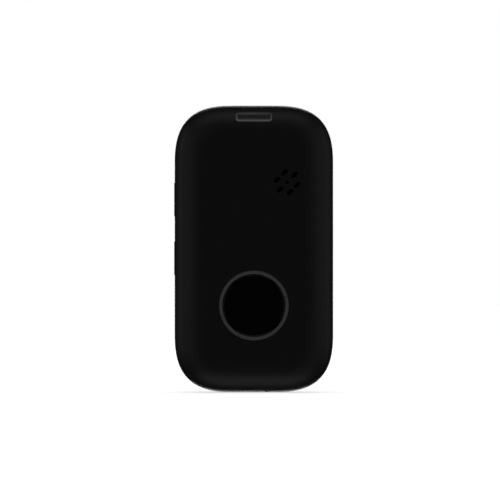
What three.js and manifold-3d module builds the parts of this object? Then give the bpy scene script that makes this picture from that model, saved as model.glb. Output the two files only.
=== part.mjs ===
// A pocket pager with one large call button, built as it comes apart on a bench:
// two casing halves, the keys, the speaker, the vibration motor, the board and the battery.
//
// Millimetres, +Z up. The front face looks along -Y, the strap slot is at the top, and the
// origin is at the middle of the bottom end.
import * as THREE from "three";
import { LoftGeometry } from "three/addons/geometries/LoftGeometry.js";
import { mergeVertices } from "three/addons/utils/BufferGeometryUtils.js";
import Module from "manifold-3d";

const wasm = await Module();
wasm.setup();

// ---------------------------------------------------------------- driving dimensions
// fromSide, fromTop and fromEnd are measured from the casing's outline inwards.

const caseWidth = 39.6;
const caseHeight = 71.6;
const caseDepth = 15;
const wall = 1.6;
const seam = 0.2; // open line between the two casing halves
const rearDepth = 4.3; // from the middle of the seam to the back face

// A corner of the outline is a superellipse that runs this far along each side.
const corner = { alongX: 14.8, alongZ: 15, power: 2.73, steps: 7 };
// The casing's edges round over like a pillow: inwards by reach, and back by depth.
const frontRound = { reach: 8, depth: 7, power: 2.3, steps: 5 };
const rearRound = { reach: 6.5, depth: 4.1, power: 2.3, steps: 4 };

const slide = 0.1; // gap beside a piece that moves
const touch = 0.03; // gap between two pieces that rest on each other
const spare = 0.8; // least room between neighbouring parts on the board

const tongue = { inset: 0.9, length: 0.9 }; // lip of the front half that enters the rear half
const gasketThickness = 0.5;

const strap = {
  width: 9,
  top: 1.7, // from the top end down to the slot's upper edge
  bottom: 4.03, // and to its lower edge
  lipDepth: 0.84, // how far the floor runs straight in
  barDepth: 5.6, // how far back the bar over the slot reaches
  barRound: 0.7,
  floorReach: 7.75, // how far back the channel's floor has swept up to the top end
  cornerRadius: 0.75,
  wall: 1.2,
};

const button = {
  fromEnd: 21.7,
  ringOuter: 8.67,
  ringInner: 7.85,
  ringSink: 0.02, // how far the ring lies below the front face
  flange: 0.8, // how far the ring's and cap's hidden flanges reach outwards
  flangeThickness: 0.5,
  skin: 1.25, // thickness of the cap's face
  stud: 1.6, // radius of the stud behind the cap's middle
  dish: 0.25, // how far the middle of the cap sinks below its rim
  travel: 0.45,
};
const membrane = { beyondRing: 1.9, sheet: 0.35, rim: 0.6, rimWidth: 1.3, nub: 1.3, fromBoard: 3.25 };
const collarWall = 1.1;
const callSwitch = { size: 6, height: 1.5, stem: 1.8, floor: 0.2, proud: 0.5 };
const led = { length: 1.6, height: 0.6, width: 0.8, count: 4 };

const key = {
  length: 8.6,
  width: 2.7,
  radius: 0.8,
  bevel: 0.2,
  proud: 0.12, // past the widest line of the casing
  fromTop: [23.45, 38.15], // volume up, volume down
  flange: 0.6, // thickness of the hidden flange
  flangeMargin: 0.75, // and its reach past the key
  flangeRecess: 0.1,
  pusher: { length: 2.8, width: 1.6, reach: 0.5 },
  travel: 0.25,
};
const sideSwitch = { depth: 3, length: 4.6, height: 1.6, stem: 0.75, socket: 0.9 };
const sideStem = { length: 2.2, height: 1 };

const speaker = {
  fromSide: 11.5,
  fromTop: 19.2,
  radius: 6.5,
  depth: 2.8,
  rim: 0.8, // wall of the pocket it sits in
  rimHeight: 1.5,
  shelf: 1, // from the front wall's inside to the pocket's floor
  gasket: 0.4,
  basket: 0.8, // wall of its frame
  backPlate: 0.6,
  magnetRadius: 2.3,
  magnetHeight: 1.3,
  coilRadius: 2.6,
  coilWall: 0.3,
  sheet: 0.2,
  travel: 0.15,
};
const grille = { ring: 2.55, count: 6, slotLength: 1.9, slotWidth: 0.95, tilt: 45, meshRadius: 4.1 };

const frontBay = 5; // room between the front wall and the board
const boardThickness = 1;
const board = { fromSide: 3.4, fromEnd: 7, fromTop: 6.2, cornerReach: 8 };

const caseScrew = {
  fromSide: 9.9,
  fromEnd: 10.1,
  boss: 2.2,
  shank: 0.75,
  head: 1.5,
  headHeight: 0.8,
  seatAbove: 0.6, // plastic left under the head, behind the rear wall
};
const boardScrew = {
  post: 1.8,
  shank: 0.6,
  head: 1.3,
  headHeight: 0.5,
  length: 1.5,
  angle: 20,
  fromTop: 9.1,
};

const motor = {
  fromSide: 7.2,
  radius: 2,
  canLength: 7.4,
  shaft: 0.4,
  weightRadius: 1.8,
  weightHub: 0.9,
  weightLength: 3,
  holder: 0.6, // wall of the rubber holder
  clearance: 0.3, // between the can and the board
};
const battery = { fromSide: 5.8, bottom: 25, length: 34, gap: 0.6, padThickness: 0.55, radius: 1.5 };
const circuit = { width: 18, height: 2, thickness: 1.6 };
const connector = { x: 7.4, z: 14.5, width: 4, height: 3, plugLength: 3.4, wireGap: 1.4, wire: 0.35 };
const sim = { x: -2.6, z: 12.6, width: 11, length: 10.2, height: 1.27, card: [8.8, 12.3], corner: 1.6 };
const contact = { x: 3.2, fromEnd: 8.6, head: 1.5, headDepth: 0.45, shank: 0.8, below: 0.08 };
const pin = { base: 0.9, tip: 0.5, tipLength: 1.5 };
const label = { width: 22, height: 13, z: 42, thickness: 0.1, radius: 1.1 };
const microphone = { x: 3.2, port: 0.5, width: 3.5, length: 2.6, height: 1, aboveEdge: 1.5 };
const gps = { fromSide: 12.4, fromTop: 19, size: 11, height: 3.4, patch: 9, patchHeight: 0.1 };
const shield = { sheet: 0.25, height: 1.6, chipHeight: 0.9, chipMargin: 1.4 };
const antenna = { left: 10.8, right: 0.6, front: 1.6, back: 2.1, foil: 0.12, pitch: 3, cut: 0.8 };

// ---------------------------------------------------------------- planes and places

const halfWidth = caseWidth / 2;
const midZ = caseHeight / 2;
const frontY = -caseDepth / 2;
const backY = caseDepth / 2;
const frontInside = frontY + wall;
const backInside = backY - wall;
const partingY = backY - rearDepth;
const tongueEnd = partingY + tongue.length;
const gasketSeat = tongueEnd + gasketThickness + 2 * touch;

const boardFront = frontInside + frontBay;
const boardBack = boardFront + boardThickness;
const boardBottom = board.fromEnd;
const boardTop = caseHeight - board.fromTop;
const onBoard = boardFront - touch; // where a part soldered to the board's front ends
const behindBoard = boardBack + touch;

const buttonZ = button.fromEnd;
const ringBack = frontInside + touch + button.flangeThickness;
const capFace = frontY + 0.05;
const membraneRadius = button.ringOuter + membrane.beyondRing;
const membraneFront = boardFront - membrane.fromBoard;
const membraneBack = membraneFront + membrane.rim;
const retainerFront = membraneBack + touch;
const collarInner = membraneRadius + slide;
const collarOuter = collarInner + collarWall;
const stemFront = onBoard - callSwitch.height - callSwitch.proud;

const keyY = boardFront - 0.3;
const keyZ = key.fromTop.map((down) => caseHeight - down);
const keySeat = halfWidth - wall - key.flangeRecess;
const keyBack = keySeat - key.flange;
const stemY = boardFront - sideSwitch.height / 2;
const stemTip = keyBack - key.pusher.reach + touch;
const sideSwitchFace = stemTip - sideSwitch.stem;

const speakerX = halfWidth - speaker.fromSide;
const speakerZ = caseHeight - speaker.fromTop;
const speakerSeat = frontInside + speaker.shelf;
const speakerRim = speaker.radius + speaker.rim;
const speakerFront = speakerSeat + speaker.gasket + 2 * touch;
const speakerBack = speakerFront + speaker.depth;
const basketFloor = speakerBack - speaker.backPlate;

const motorX = halfWidth - motor.fromSide;
const motorY = boardFront - motor.clearance - motor.radius;
const weightGap = 0.5;
const motorLength = motor.canLength + weightGap + motor.weightLength;
const motorBottom = speakerZ - speakerRim - spare - motorLength;
const motorSide = motor.radius + motor.holder;

const batteryFront = boardBack + battery.gap;
const batteryBack = backInside - battery.padThickness;
const batteryWidth = 2 * (halfWidth - battery.fromSide);
const circuitTop = battery.bottom - touch;

const screwX = halfWidth - caseScrew.fromSide;
const caseScrewPlaces = [-1, 1].flatMap((side) =>
  [caseScrew.fromEnd, caseHeight - caseScrew.fromEnd].map((z) => ({ x: side * screwX, z })),
);
const screwSeat = backInside - caseScrew.seatAbove;
const bossEnd = partingY - 0.6;

const postReach = collarOuter + boardScrew.post + 0.3;
const postAngle = THREE.MathUtils.degToRad(boardScrew.angle);
const boardScrewPlaces = [
  { x: -postReach * Math.cos(postAngle), z: buttonZ - postReach * Math.sin(postAngle) },
  { x: postReach * Math.cos(postAngle), z: buttonZ - postReach * Math.sin(postAngle) },
  { x: 0, z: caseHeight - boardScrew.fromTop },
];

// ---------------------------------------------------------------- solids

// A closed geometry as a manifold-3d solid, for joining and cutting.
function solidOf(geometry) {
  const bare = new THREE.BufferGeometry();
  bare.setAttribute("position", geometry.getAttribute("position"));
  bare.setIndex(geometry.getIndex());
  const merged = mergeVertices(bare, 1e-4);
  const corners = [];
  for (let i = 0; i < merged.index.count; i += 3) {
    const [a, b, c] = [0, 1, 2].map((k) => merged.index.getX(i + k));
    if (a !== b && b !== c && c !== a) corners.push(a, b, c);
  }
  return new wasm.Manifold(
    new wasm.Mesh({
      numProp: 3,
      vertProperties: new Float32Array(merged.getAttribute("position").array),
      triVerts: new Uint32Array(corners),
    }),
  );
}

function geometryOf(solid) {
  const mesh = solid.getMesh();
  const geometry = new THREE.BufferGeometry();
  geometry.setAttribute("position", new THREE.BufferAttribute(mesh.vertProperties, 3));
  geometry.setIndex(new THREE.BufferAttribute(mesh.triVerts, 1));
  geometry.computeVertexNormals();
  return geometry;
}

function joined(...solids) {
  return solids.reduce((all, next) => all.add(next));
}

function block([x0, x1], [y0, y1], [z0, z1]) {
  const box = new THREE.BoxGeometry(x1 - x0, y1 - y0, z1 - z0);
  return solidOf(box.translate((x0 + x1) / 2, (y0 + y1) / 2, (z0 + z1) / 2));
}

// A block centred on X and Z, between two planes of Y.
function pad(width, [y0, y1], height) {
  return block([-width / 2, width / 2], [y0, y1], [-height / 2, height / 2]);
}

// A profile of [radius, y] points turned about the Y axis, from its lowest y on the axis
// outwards and back to the axis, or round a closed ring.
function turned(profile, segments = 24) {
  const points = profile.map(([radius, y]) => new THREE.Vector2(radius, y));
  return solidOf(new THREE.LatheGeometry(points, segments));
}

function hoop(inner, outer, y0, y1, segments = 32) {
  return turned([[inner, y0], [outer, y0], [outer, y1], [inner, y1], [inner, y0]], segments);
}

// A round bar along Y.
function rod(radius, y0, y1, segments = 20) {
  return turned([[0, y0], [radius, y0], [radius, y1], [0, y1]], segments);
}

// The same bar turned upright, along Z.
function uprightRod(radius, z0, z1, segments = 20) {
  const bar = new THREE.CylinderGeometry(radius, radius, z1 - z0, segments);
  return solidOf(bar.rotateX(Math.PI / 2).translate(0, 0, (z0 + z1) / 2));
}

// A shape drawn in X and Z, given thickness from y0 to y1.
function plate(shape, y0, y1, curveSegments = 4) {
  const options = { depth: y1 - y0, bevelEnabled: false, curveSegments };
  const flat = new THREE.ExtrudeGeometry(shape, options);
  return solidOf(flat.rotateX(Math.PI / 2).translate(0, y1, 0));
}

// A shape drawn in Y and Z, given thickness from x0 to x1.
function sideways(shape, x0, x1, curveSegments = 4) {
  const options = { depth: x1 - x0, bevelEnabled: false, curveSegments };
  const turn = new THREE.Matrix4().makeBasis(
    new THREE.Vector3(0, 1, 0),
    new THREE.Vector3(0, 0, 1),
    new THREE.Vector3(1, 0, 0),
  );
  const flat = new THREE.ExtrudeGeometry(shape, options).applyMatrix4(turn);
  return solidOf(flat.translate(x0, 0, 0));
}

function roundedRectangle(width, height, radius) {
  const [w, h] = [width / 2, height / 2];
  const shape = new THREE.Shape();
  shape.moveTo(-w + radius, -h);
  shape.absarc(w - radius, -h + radius, radius, -Math.PI / 2, 0);
  shape.absarc(w - radius, h - radius, radius, 0, Math.PI / 2);
  shape.absarc(-w + radius, h - radius, radius, Math.PI / 2, Math.PI);
  shape.absarc(-w + radius, -h + radius, radius, Math.PI, 1.5 * Math.PI);
  return shape;
}

// ---------------------------------------------------------------- casing outline

// A closed ring of points in a plane of constant y: a rectangle with superellipse corners.
function outlineRing(y, half, reach, centreZ) {
  const points = [];
  const bend = 2 / corner.power;
  for (let quarter = 0; quarter < 4; quarter += 1) {
    for (let i = 0; i <= corner.steps; i += 1) {
      const angle = (quarter + i / corner.steps) * (Math.PI / 2);
      const signX = quarter === 0 || quarter === 3 ? -1 : 1;
      const signZ = quarter < 2 ? 1 : -1;
      const x = half.x - reach.x * (1 - Math.abs(Math.cos(angle)) ** bend);
      const z = half.z - reach.z * (1 - Math.abs(Math.sin(angle)) ** bend);
      points.push(new THREE.Vector3(signX * x, y, centreZ + signZ * z));
    }
  }
  return points;
}

function caseRing(y, inset) {
  const half = { x: halfWidth - inset, z: midZ - inset };
  const reach = { x: corner.alongX - inset, z: corner.alongZ - inset };
  return outlineRing(y, half, reach, midZ);
}

function loft(rings) {
  return solidOf(new LoftGeometry(rings, { capStart: true, capEnd: true }));
}

function prism(y0, y1, inset) {
  return loft([caseRing(y0, inset), caseRing(y1, inset)]);
}

// Rings that round an edge over, from the flat face to the straight side. facing is -1 for
// the front and 1 for the back, and offset moves the surface inwards.
function pillowRings(round, edgeY, facing, offset) {
  const rings = [];
  for (let i = round.steps; i >= 0; i -= 1) {
    const angle = (i / round.steps) * (Math.PI / 2);
    const across = Math.max(Math.cos(angle), 0) ** (2 / round.power);
    const along = Math.sin(angle) ** (2 / round.power);
    const y = edgeY + facing * (round.depth - offset) * along;
    rings.push(caseRing(y, offset + round.reach * (1 - across)));
  }
  return rings;
}

// The casing's front half as a plain body up to endY, its surface moved inwards by offset.
function frontBody(offset, endY) {
  const rings = pillowRings(frontRound, frontY + frontRound.depth, -1, offset);
  return loft([...rings, caseRing(endY, offset)]);
}

function rearBody(offset, startY) {
  const rings = pillowRings(rearRound, backY - rearRound.depth, 1, offset).reverse();
  return loft([caseRing(startY, offset), ...rings]);
}

// ---------------------------------------------------------------- strap channel

// The channel enters the front face, and its floor sweeps up and out through the top end.
// grow thickens it on every side, for the wall around it.
function strapSection(grow, openTop) {
  const past = 2;
  const lip = frontY + strap.lipDepth;
  const reachY = strap.floorReach - strap.lipDepth + grow;
  const reachZ = strap.bottom + grow;
  const section = new THREE.Shape();
  section.moveTo(frontY - past, caseHeight - reachZ);
  section.absellipse(lip, caseHeight, reachY, reachZ, -Math.PI / 2, 0, false);
  section.lineTo(lip + reachY, caseHeight + openTop);
  section.lineTo(frontY - past, caseHeight + openTop);
  return section;
}

// The bar that the strap goes round, left standing between the slot and the top end.
function strapBar() {
  const past = 3;
  const rear = frontY + strap.barDepth;
  const under = caseHeight - strap.top;
  const bar = new THREE.Shape();
  bar.moveTo(frontY - past, under);
  bar.absarc(rear - strap.barRound, under + strap.barRound, strap.barRound, -Math.PI / 2, 0);
  bar.lineTo(rear, caseHeight + past);
  bar.lineTo(frontY - past, caseHeight + past);
  return sideways(bar, -strap.width, strap.width);
}

function strapChannel() {
  const height = strap.bottom + 4; // past the top end
  const outline = roundedRectangle(strap.width, height, strap.cornerRadius);
  const window = plate(outline, frontY - 2, backY).translate(
    0,
    0,
    caseHeight - strap.bottom + height / 2,
  );
  const swept = sideways(strapSection(0, 2), -strap.width, strap.width, 8);
  return swept.subtract(strapBar()).intersect(window);
}

function strapHousing() {
  const half = strap.width / 2 + strap.wall;
  return sideways(strapSection(strap.wall, 0), -half, half, 8);
}

// ---------------------------------------------------------------- openings

function grilleHoles() {
  const [outside, inside] = [frontY - 1, speakerSeat];
  const slot = roundedRectangle(grille.slotLength, grille.slotWidth, grille.slotWidth / 2);
  const tilted = plate(slot, outside, inside, 3).rotate([0, -grille.tilt, 0]);
  const ring = [];
  for (let i = 0; i < grille.count; i += 1) {
    const angle = THREE.MathUtils.degToRad(grille.tilt) + (i / grille.count) * 2 * Math.PI;
    const at = [grille.ring * Math.cos(angle), 0, grille.ring * Math.sin(angle)];
    ring.push(tilted.translate(at));
  }
  const centre = rod(grille.slotWidth / 2, outside, inside, 12);
  return joined(centre, ...ring).translate(speakerX, 0, speakerZ);
}

// The hole that a volume key stands in, and the pocket behind the wall for its flange.
function keyOpening() {
  const hole = roundedRectangle(key.width + 2 * slide, key.length + 2 * slide, key.radius + slide);
  const reach = key.flangeMargin + slide;
  const [w, l] = [key.width / 2 + reach, key.length / 2 + reach];
  const inner = keyBack - 2; // past the wall's inside
  return joined(
    sideways(hole, -halfWidth - 2, -inner).translate(0, keyY, 0),
    block([-keySeat, -inner], [keyY - w, keyY + w], [-l, l]),
  );
}

// One round hole along Y at each of the places.
function holesAt(places, radius, y0, y1, segments = 12) {
  return joined(...places.map(({ x, z }) => rod(radius, y0, y1, segments).translate(x, 0, z)));
}

function microphonePort() {
  const port = uprightRod(microphone.port, -1, 2 * wall, 12);
  return port.translate(microphone.x, boardFront - microphone.height - 0.6, 0);
}

// ---------------------------------------------------------------- casing halves

function frontShell() {
  const outer = frontBody(0, partingY - seam / 2);
  const lip = prism(partingY - 1, tongueEnd, tongue.inset);
  const hollow = frontBody(wall, backY);
  const collar = hoop(collarInner, collarOuter, frontY, retainerFront);
  const pocketWall = rod(speakerRim, frontY, speakerSeat + speaker.rimHeight, 28);
  const supports = joined(
    holesAt(caseScrewPlaces, caseScrew.boss, frontY, bossEnd, 20),
    holesAt(boardScrewPlaces, boardScrew.post, frontY, onBoard, 16),
    collar.translate(0, 0, buttonZ),
    pocketWall.translate(speakerX, 0, speakerZ),
    strapHousing(),
  ).intersect(outer);
  return joined(outer, lip).subtract(hollow).add(supports).subtract(frontOpenings());
}

function frontOpenings() {
  const ringHole = joined(
    rod(button.ringOuter + slide / 2, frontY - 1, boardFront, 40),
    rod(button.ringOuter + button.flange + slide, frontInside, boardFront, 40),
  );
  const speakerPocket = joined(
    rod(speaker.radius + slide, speakerSeat, boardFront, 28),
    rod(grille.meshRadius + slide, frontInside, boardFront),
  );
  return joined(
    ringHole.translate(0, 0, buttonZ),
    speakerPocket.translate(speakerX, 0, speakerZ),
    grilleHoles(),
    strapChannel(),
    holesAt(caseScrewPlaces, caseScrew.shank + slide / 2, boardFront - 0.4, backY),
    holesAt(boardScrewPlaces, boardScrew.shank + slide / 2, onBoard - boardScrew.length - 0.3, backY),
    microphonePort(),
    ...keyZ.map((z) => keyOpening().translate(0, 0, z)),
  );
}

function rearShell() {
  const outer = rearBody(0, partingY + seam / 2);
  const hollow = rearBody(wall, partingY - 1);
  const rabbet = prism(partingY - 1, gasketSeat, tongue.inset - slide);
  const tubes = holesAt(caseScrewPlaces, caseScrew.boss + 0.2, bossEnd + seam, backY, 20);
  const room = joined(outer, prism(bossEnd, partingY + 1, wall));
  return outer.subtract(joined(hollow, rabbet)).add(tubes.intersect(room)).subtract(rearOpenings());
}

function rearOpenings() {
  const contacts = [-1, 1].map((side) => ({ x: side * contact.x, z: contact.fromEnd }));
  const recess = roundedRectangle(
    label.width + 2 * slide,
    label.height + 2 * slide,
    label.radius + slide,
  );
  return joined(
    holesAt(caseScrewPlaces, caseScrew.head + 0.25, screwSeat, backY + 1, 20),
    holesAt(caseScrewPlaces, caseScrew.shank + 0.15, bossEnd, backY),
    holesAt(contacts, contact.head + slide, backY - contact.headDepth, backY + 1, 20),
    holesAt(contacts, contact.shank + slide / 2, backInside - 1, backY, 16),
    plate(recess, backY - label.thickness - 2 * touch, backY + 1).translate(0, 0, label.z),
  );
}

function shellGasket() {
  const [y0, y1] = [tongueEnd + touch, gasketSeat - touch];
  return prism(y0, y1, tongue.inset + touch).subtract(prism(y0 - 1, y1 + 1, wall - touch));
}

function ratingLabel() {
  const outline = roundedRectangle(label.width, label.height, label.radius);
  return plate(outline, backY - label.thickness - touch, backY - touch);
}

// ---------------------------------------------------------------- screws

// A pan head facing +Y on a seat, with a cross cut into it, and a shank down to its tip.
function crossScrew({ head, headHeight, shank }, seatY, tipY) {
  const top = seatY + headHeight;
  const body = turned(
    [[0, tipY], [shank * 0.5, tipY], [shank, tipY + shank * 0.7], [shank, seatY], [head, seatY],
      [head, top - headHeight * 0.4], [head * 0.7, top], [0, top]],
    12,
  );
  const [arm, slot] = [head * 0.55, head * 0.12];
  const depth = [top - headHeight * 0.5, top + 1];
  return body.subtract(joined(pad(2 * arm, depth, 2 * slot), pad(2 * slot, depth, 2 * arm)));
}

// ---------------------------------------------------------------- call button

function ringLens() {
  const [inner, outer] = [button.ringInner, button.ringOuter];
  const top = frontY + button.ringSink;
  const under = frontInside + touch;
  const edge = 0.1;
  return turned(
    [[inner, top + edge], [inner + edge, top], [outer - edge, top], [outer, top + edge],
      [outer, under], [outer + button.flange, under], [outer + button.flange, ringBack],
      [inner, ringBack], [inner, top + edge]],
    40,
  );
}

function callButton() {
  const radius = button.ringInner - slide;
  const inner = radius - 1;
  const flange = radius + button.flange - 2 * slide;
  const flangeFront = ringBack + touch;
  const flangeBack = flangeFront + button.flangeThickness;
  const edge = 0.3;
  return turned(
    [[0, capFace + button.dish], [radius * 0.5, capFace + button.dish * 0.75],
      [radius - edge, capFace], [radius, capFace + edge], [radius, flangeFront],
      [flange, flangeFront], [flange, flangeBack], [inner, flangeBack],
      [inner, capFace + button.skin], [button.stud, capFace + button.skin],
      [button.stud, membraneBack], [0, membraneBack]],
    32,
  );
}

// A silicone skirt: its rim is clamped, and its middle pushes the switch.
function buttonMembrane() {
  const centre = membraneBack + touch;
  const skirtEnd = membraneRadius - membrane.rimWidth;
  const tip = stemFront - touch;
  return turned(
    [[0, centre], [membrane.nub + 1, centre], [skirtEnd, membraneFront + 0.05],
      [skirtEnd + 0.1, membraneFront], [membraneRadius, membraneFront],
      [membraneRadius, membraneBack], [skirtEnd, membraneBack],
      [membrane.nub + 1, centre + membrane.sheet], [membrane.nub, centre + membrane.sheet],
      [membrane.nub, tip], [0, tip]],
    32,
  );
}

function membraneRetainer() {
  return hoop(membraneRadius - membrane.rimWidth, membraneRadius, retainerFront, onBoard);
}

function callSwitchBase() {
  const box = pad(callSwitch.size, [onBoard - callSwitch.height, onBoard], callSwitch.size);
  return box.subtract(rod(callSwitch.stem, boardFront - 3, onBoard - callSwitch.floor));
}

function callSwitchStem() {
  const end = onBoard - callSwitch.floor - button.travel - touch;
  return rod(callSwitch.stem - slide, stemFront, end);
}

function ringLed() {
  return pad(led.length, [onBoard - led.height, onBoard], led.width);
}

// ---------------------------------------------------------------- volume keys

function volumeKey() {
  const face = -halfWidth - key.proud;
  const body = roundedRectangle(key.width, key.length, key.radius);
  const crown = roundedRectangle(
    key.width - 2 * key.bevel,
    key.length - 2 * key.bevel,
    key.radius - key.bevel,
  );
  const [w, l] = [key.width / 2 + key.flangeMargin, key.length / 2 + key.flangeMargin];
  const { length, width } = key.pusher;
  const pusherY = stemY - keyY;
  return joined(
    sideways(body, face + key.bevel, -keySeat + 0.1),
    sideways(crown, face, face + key.bevel + 0.1),
    block([-keySeat + touch, -keyBack], [-w, w], [-l, l]),
    block(
      [-keyBack - 0.1, -stemTip - touch],
      [pusherY - width / 2, pusherY + width / 2],
      [-length / 2, length / 2],
    ),
  ).translate(0, keyY, 0);
}

function sideSwitchBody() {
  const [outer, inner] = [-sideSwitchFace, -sideSwitchFace + sideSwitch.depth];
  const [l, h] = [sideStem.length / 2 + slide, sideStem.height / 2 + slide];
  const box = block(
    [outer, inner],
    [boardFront - sideSwitch.height, onBoard],
    [-sideSwitch.length / 2, sideSwitch.length / 2],
  );
  return box.subtract(block([outer - 1, outer + sideSwitch.socket], [stemY - h, stemY + h], [-l, l]));
}

function sideSwitchStem() {
  const inner = -sideSwitchFace + sideSwitch.socket - key.travel - slide;
  const [l, h] = [sideStem.length / 2, sideStem.height / 2];
  return block([-stemTip, inner], [stemY - h, stemY + h], [-l, l]);
}

// ---------------------------------------------------------------- speaker

function speakerMesh() {
  return rod(grille.meshRadius, frontInside + touch, frontInside + touch + 0.12);
}

function speakerGasket() {
  const y0 = speakerSeat + touch;
  return hoop(grille.meshRadius + 0.5, speaker.radius - 0.2, y0, y0 + speaker.gasket, 24);
}

function speakerFrame() {
  const inner = speaker.radius - speaker.basket;
  return turned(
    [[0, basketFloor], [inner, basketFloor], [inner, speakerFront], [speaker.radius, speakerFront],
      [speaker.radius, speakerBack], [0, speakerBack]],
    28,
  );
}

function speakerMagnet() {
  return rod(speaker.magnetRadius, basketFloor - speaker.magnetHeight, basketFloor - touch);
}

// A thin domed sheet with the coil's tube behind it.
function speakerCone() {
  const { sheet, coilRadius: coil } = speaker;
  const front = speakerFront + speaker.travel + 0.05;
  const rise = 0.25;
  const edge = speaker.radius - speaker.basket - 0.3;
  const tubeEnd = basketFloor - speaker.travel - slide;
  return turned(
    [[0, front], [coil, front + rise], [coil + 1.2, front + 0.1], [edge, front + rise],
      [edge, front + rise + sheet], [coil + 1.2, front + 0.1 + sheet],
      [coil + speaker.coilWall, front + rise + sheet], [coil + speaker.coilWall, tubeEnd],
      [coil, tubeEnd], [coil, front + rise + sheet], [0, front + sheet]],
    24,
  );
}

// ---------------------------------------------------------------- vibration motor
// Its shaft is the Z axis, and its can starts at z = 0.

const motorBore = 2;

function motorCan() {
  const bore = uprightRod(motor.shaft + slide / 2, motor.canLength - motorBore, motor.canLength + 1, 12);
  return uprightRod(motor.radius, 0, motor.canLength).subtract(bore);
}

function motorShaft() {
  return uprightRod(motor.shaft, motor.canLength - motorBore + 0.3, motorLength + 0.1, 12);
}

// A half-round weight with a hub on the shaft, heavy towards -Y.
function motorWeight() {
  const [start, end] = [motor.canLength + weightGap, motorLength];
  const reach = motor.weightRadius + 1;
  const half = uprightRod(motor.weightRadius, start, end).subtract(
    block([-reach, reach], [0, reach], [start - 1, end + 1]),
  );
  return joined(half, uprightRod(motor.weightHub, start, end, 16)).subtract(
    uprightRod(motor.shaft + touch, start - 1, end + 1, 12),
  );
}

function motorHolder() {
  const end = 0.7;
  const cradle = block(
    [-motorSide, motorSide],
    [0.2, onBoard - motorY],
    [end, motor.canLength - end],
  );
  return cradle.subtract(uprightRod(motor.radius + touch, -1, motor.canLength + 1, 24));
}

// ---------------------------------------------------------------- board and what it carries

function mainBoard() {
  const half = { x: halfWidth - board.fromSide, z: (boardTop - boardBottom) / 2 };
  const reach = { x: board.cornerReach, z: board.cornerReach };
  const ring = (y) => outlineRing(y, half, reach, (boardTop + boardBottom) / 2);
  const [before, after] = [boardFront - 1, boardBack + 1];
  return loft([ring(boardFront), ring(boardBack)]).subtract(
    joined(
      holesAt(caseScrewPlaces, caseScrew.boss + 0.5, before, after, 20),
      holesAt(boardScrewPlaces, boardScrew.shank + 0.15, before, after),
    ),
  );
}

// The space on the board for the radio, left of the middle, and for the processor, right of it.
const shieldBottom = buttonZ + collarOuter + spare;
const bays = {
  radio: {
    x: [-sideSwitchFace + sideSwitch.depth + spare, -1.2],
    z: [shieldBottom, caseHeight - gps.fromTop - gps.size / 2 - spare],
  },
  processor: {
    x: [0.8, motorX - motorSide - spare],
    z: [shieldBottom, speakerZ - speakerRim - spare],
  },
};

// A pressed cover, open towards the board.
function shieldCover({ x: [x0, x1], z: [z0, z1] }) {
  const [top, sheet] = [boardFront - shield.height, shield.sheet];
  return block([x0, x1], [top, onBoard], [z0, z1]).subtract(
    block([x0 + sheet, x1 - sheet], [top + sheet, onBoard + 1], [z0 + sheet, z1 - sheet]),
  );
}

function chip({ x: [x0, x1], z: [z0, z1] }) {
  const margin = shield.chipMargin;
  return block(
    [x0 + margin, x1 - margin],
    [onBoard - shield.chipHeight, onBoard],
    [z0 + margin, z1 - margin],
  );
}

function gpsAntenna() {
  const top = onBoard - gps.height;
  return joined(
    pad(gps.size, [top, onBoard], gps.size),
    pad(gps.patch, [top - gps.patchHeight, top + 0.1], gps.patch),
  );
}

const antennaTop = boardBottom - 0.6;

function antennaCarrier() {
  return prism(boardFront - antenna.front, boardBack + antenna.back, wall + 1).intersect(
    block([-antenna.left, antenna.right], [frontY, backY], [0, antennaTop]),
  );
}

// A copper comb on the carrier's rear face.
function antennaFoil() {
  const margin = 0.4;
  const y0 = boardBack + antenna.back + touch;
  const sheet = prism(y0, y0 + antenna.foil, wall + 1.2).intersect(
    block([margin - antenna.left, antenna.right - margin], [frontY, backY], [0, antennaTop - margin]),
  );
  const cuts = [];
  for (let x = antenna.pitch - antenna.left; x < antenna.right - 2; x += antenna.pitch) {
    cuts.push(block([x, x + antenna.cut], [y0 - 1, y0 + 1], [wall + 2.3, antennaTop]));
  }
  return sheet.subtract(joined(...cuts));
}

function microphoneCan() {
  return pad(microphone.width, [onBoard - microphone.height, onBoard], microphone.length);
}

// A rubber elbow from the port in the bottom end to the microphone's face.
function microphoneBoot() {
  const half = microphone.width / 2 + 0.15;
  const face = onBoard - microphone.height - touch;
  const boreY = boardFront - microphone.height - 0.6;
  const middle = boardBottom + microphone.aboveEdge;
  const outside = joined(
    block([-half, half], [boreY - 1, face], [wall, middle + 1.7]),
    block([-half, half], [face - 0.1, boardFront - 0.3], [wall, boardBottom - 0.2]),
  );
  const bore = joined(
    uprightRod(microphone.port, 0, middle + 0.3, 12).translate(0, boreY, 0),
    rod(microphone.port, boreY - 0.1, boardFront, 12).translate(0, 0, middle),
  );
  return outside
    .subtract(bore)
    .translate(microphone.x, 0, 0)
    .intersect(frontBody(wall + touch, backY));
}

// A pin that stands on the board and meets a charging contact.
function chargePin() {
  const end = backInside - contact.headDepth - 2 * touch;
  const step = end - pin.tipLength;
  return turned(
    [[0, behindBoard], [pin.base, behindBoard], [pin.base, step], [pin.tip, step],
      [pin.tip, end], [0, end]],
    16,
  );
}

function chargeContact() {
  const start = backInside - contact.headDepth;
  const under = backY - contact.headDepth + touch;
  const face = backY - contact.below;
  const edge = 0.1;
  return turned(
    [[0, start], [contact.shank, start], [contact.shank, under], [contact.head, under],
      [contact.head, face - edge], [contact.head - edge, face], [0, face]],
    20,
  );
}

// ---------------------------------------------------------------- battery, plug and card
// Each of these stands on z = 0, and is lifted to its place in the assembly.

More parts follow.
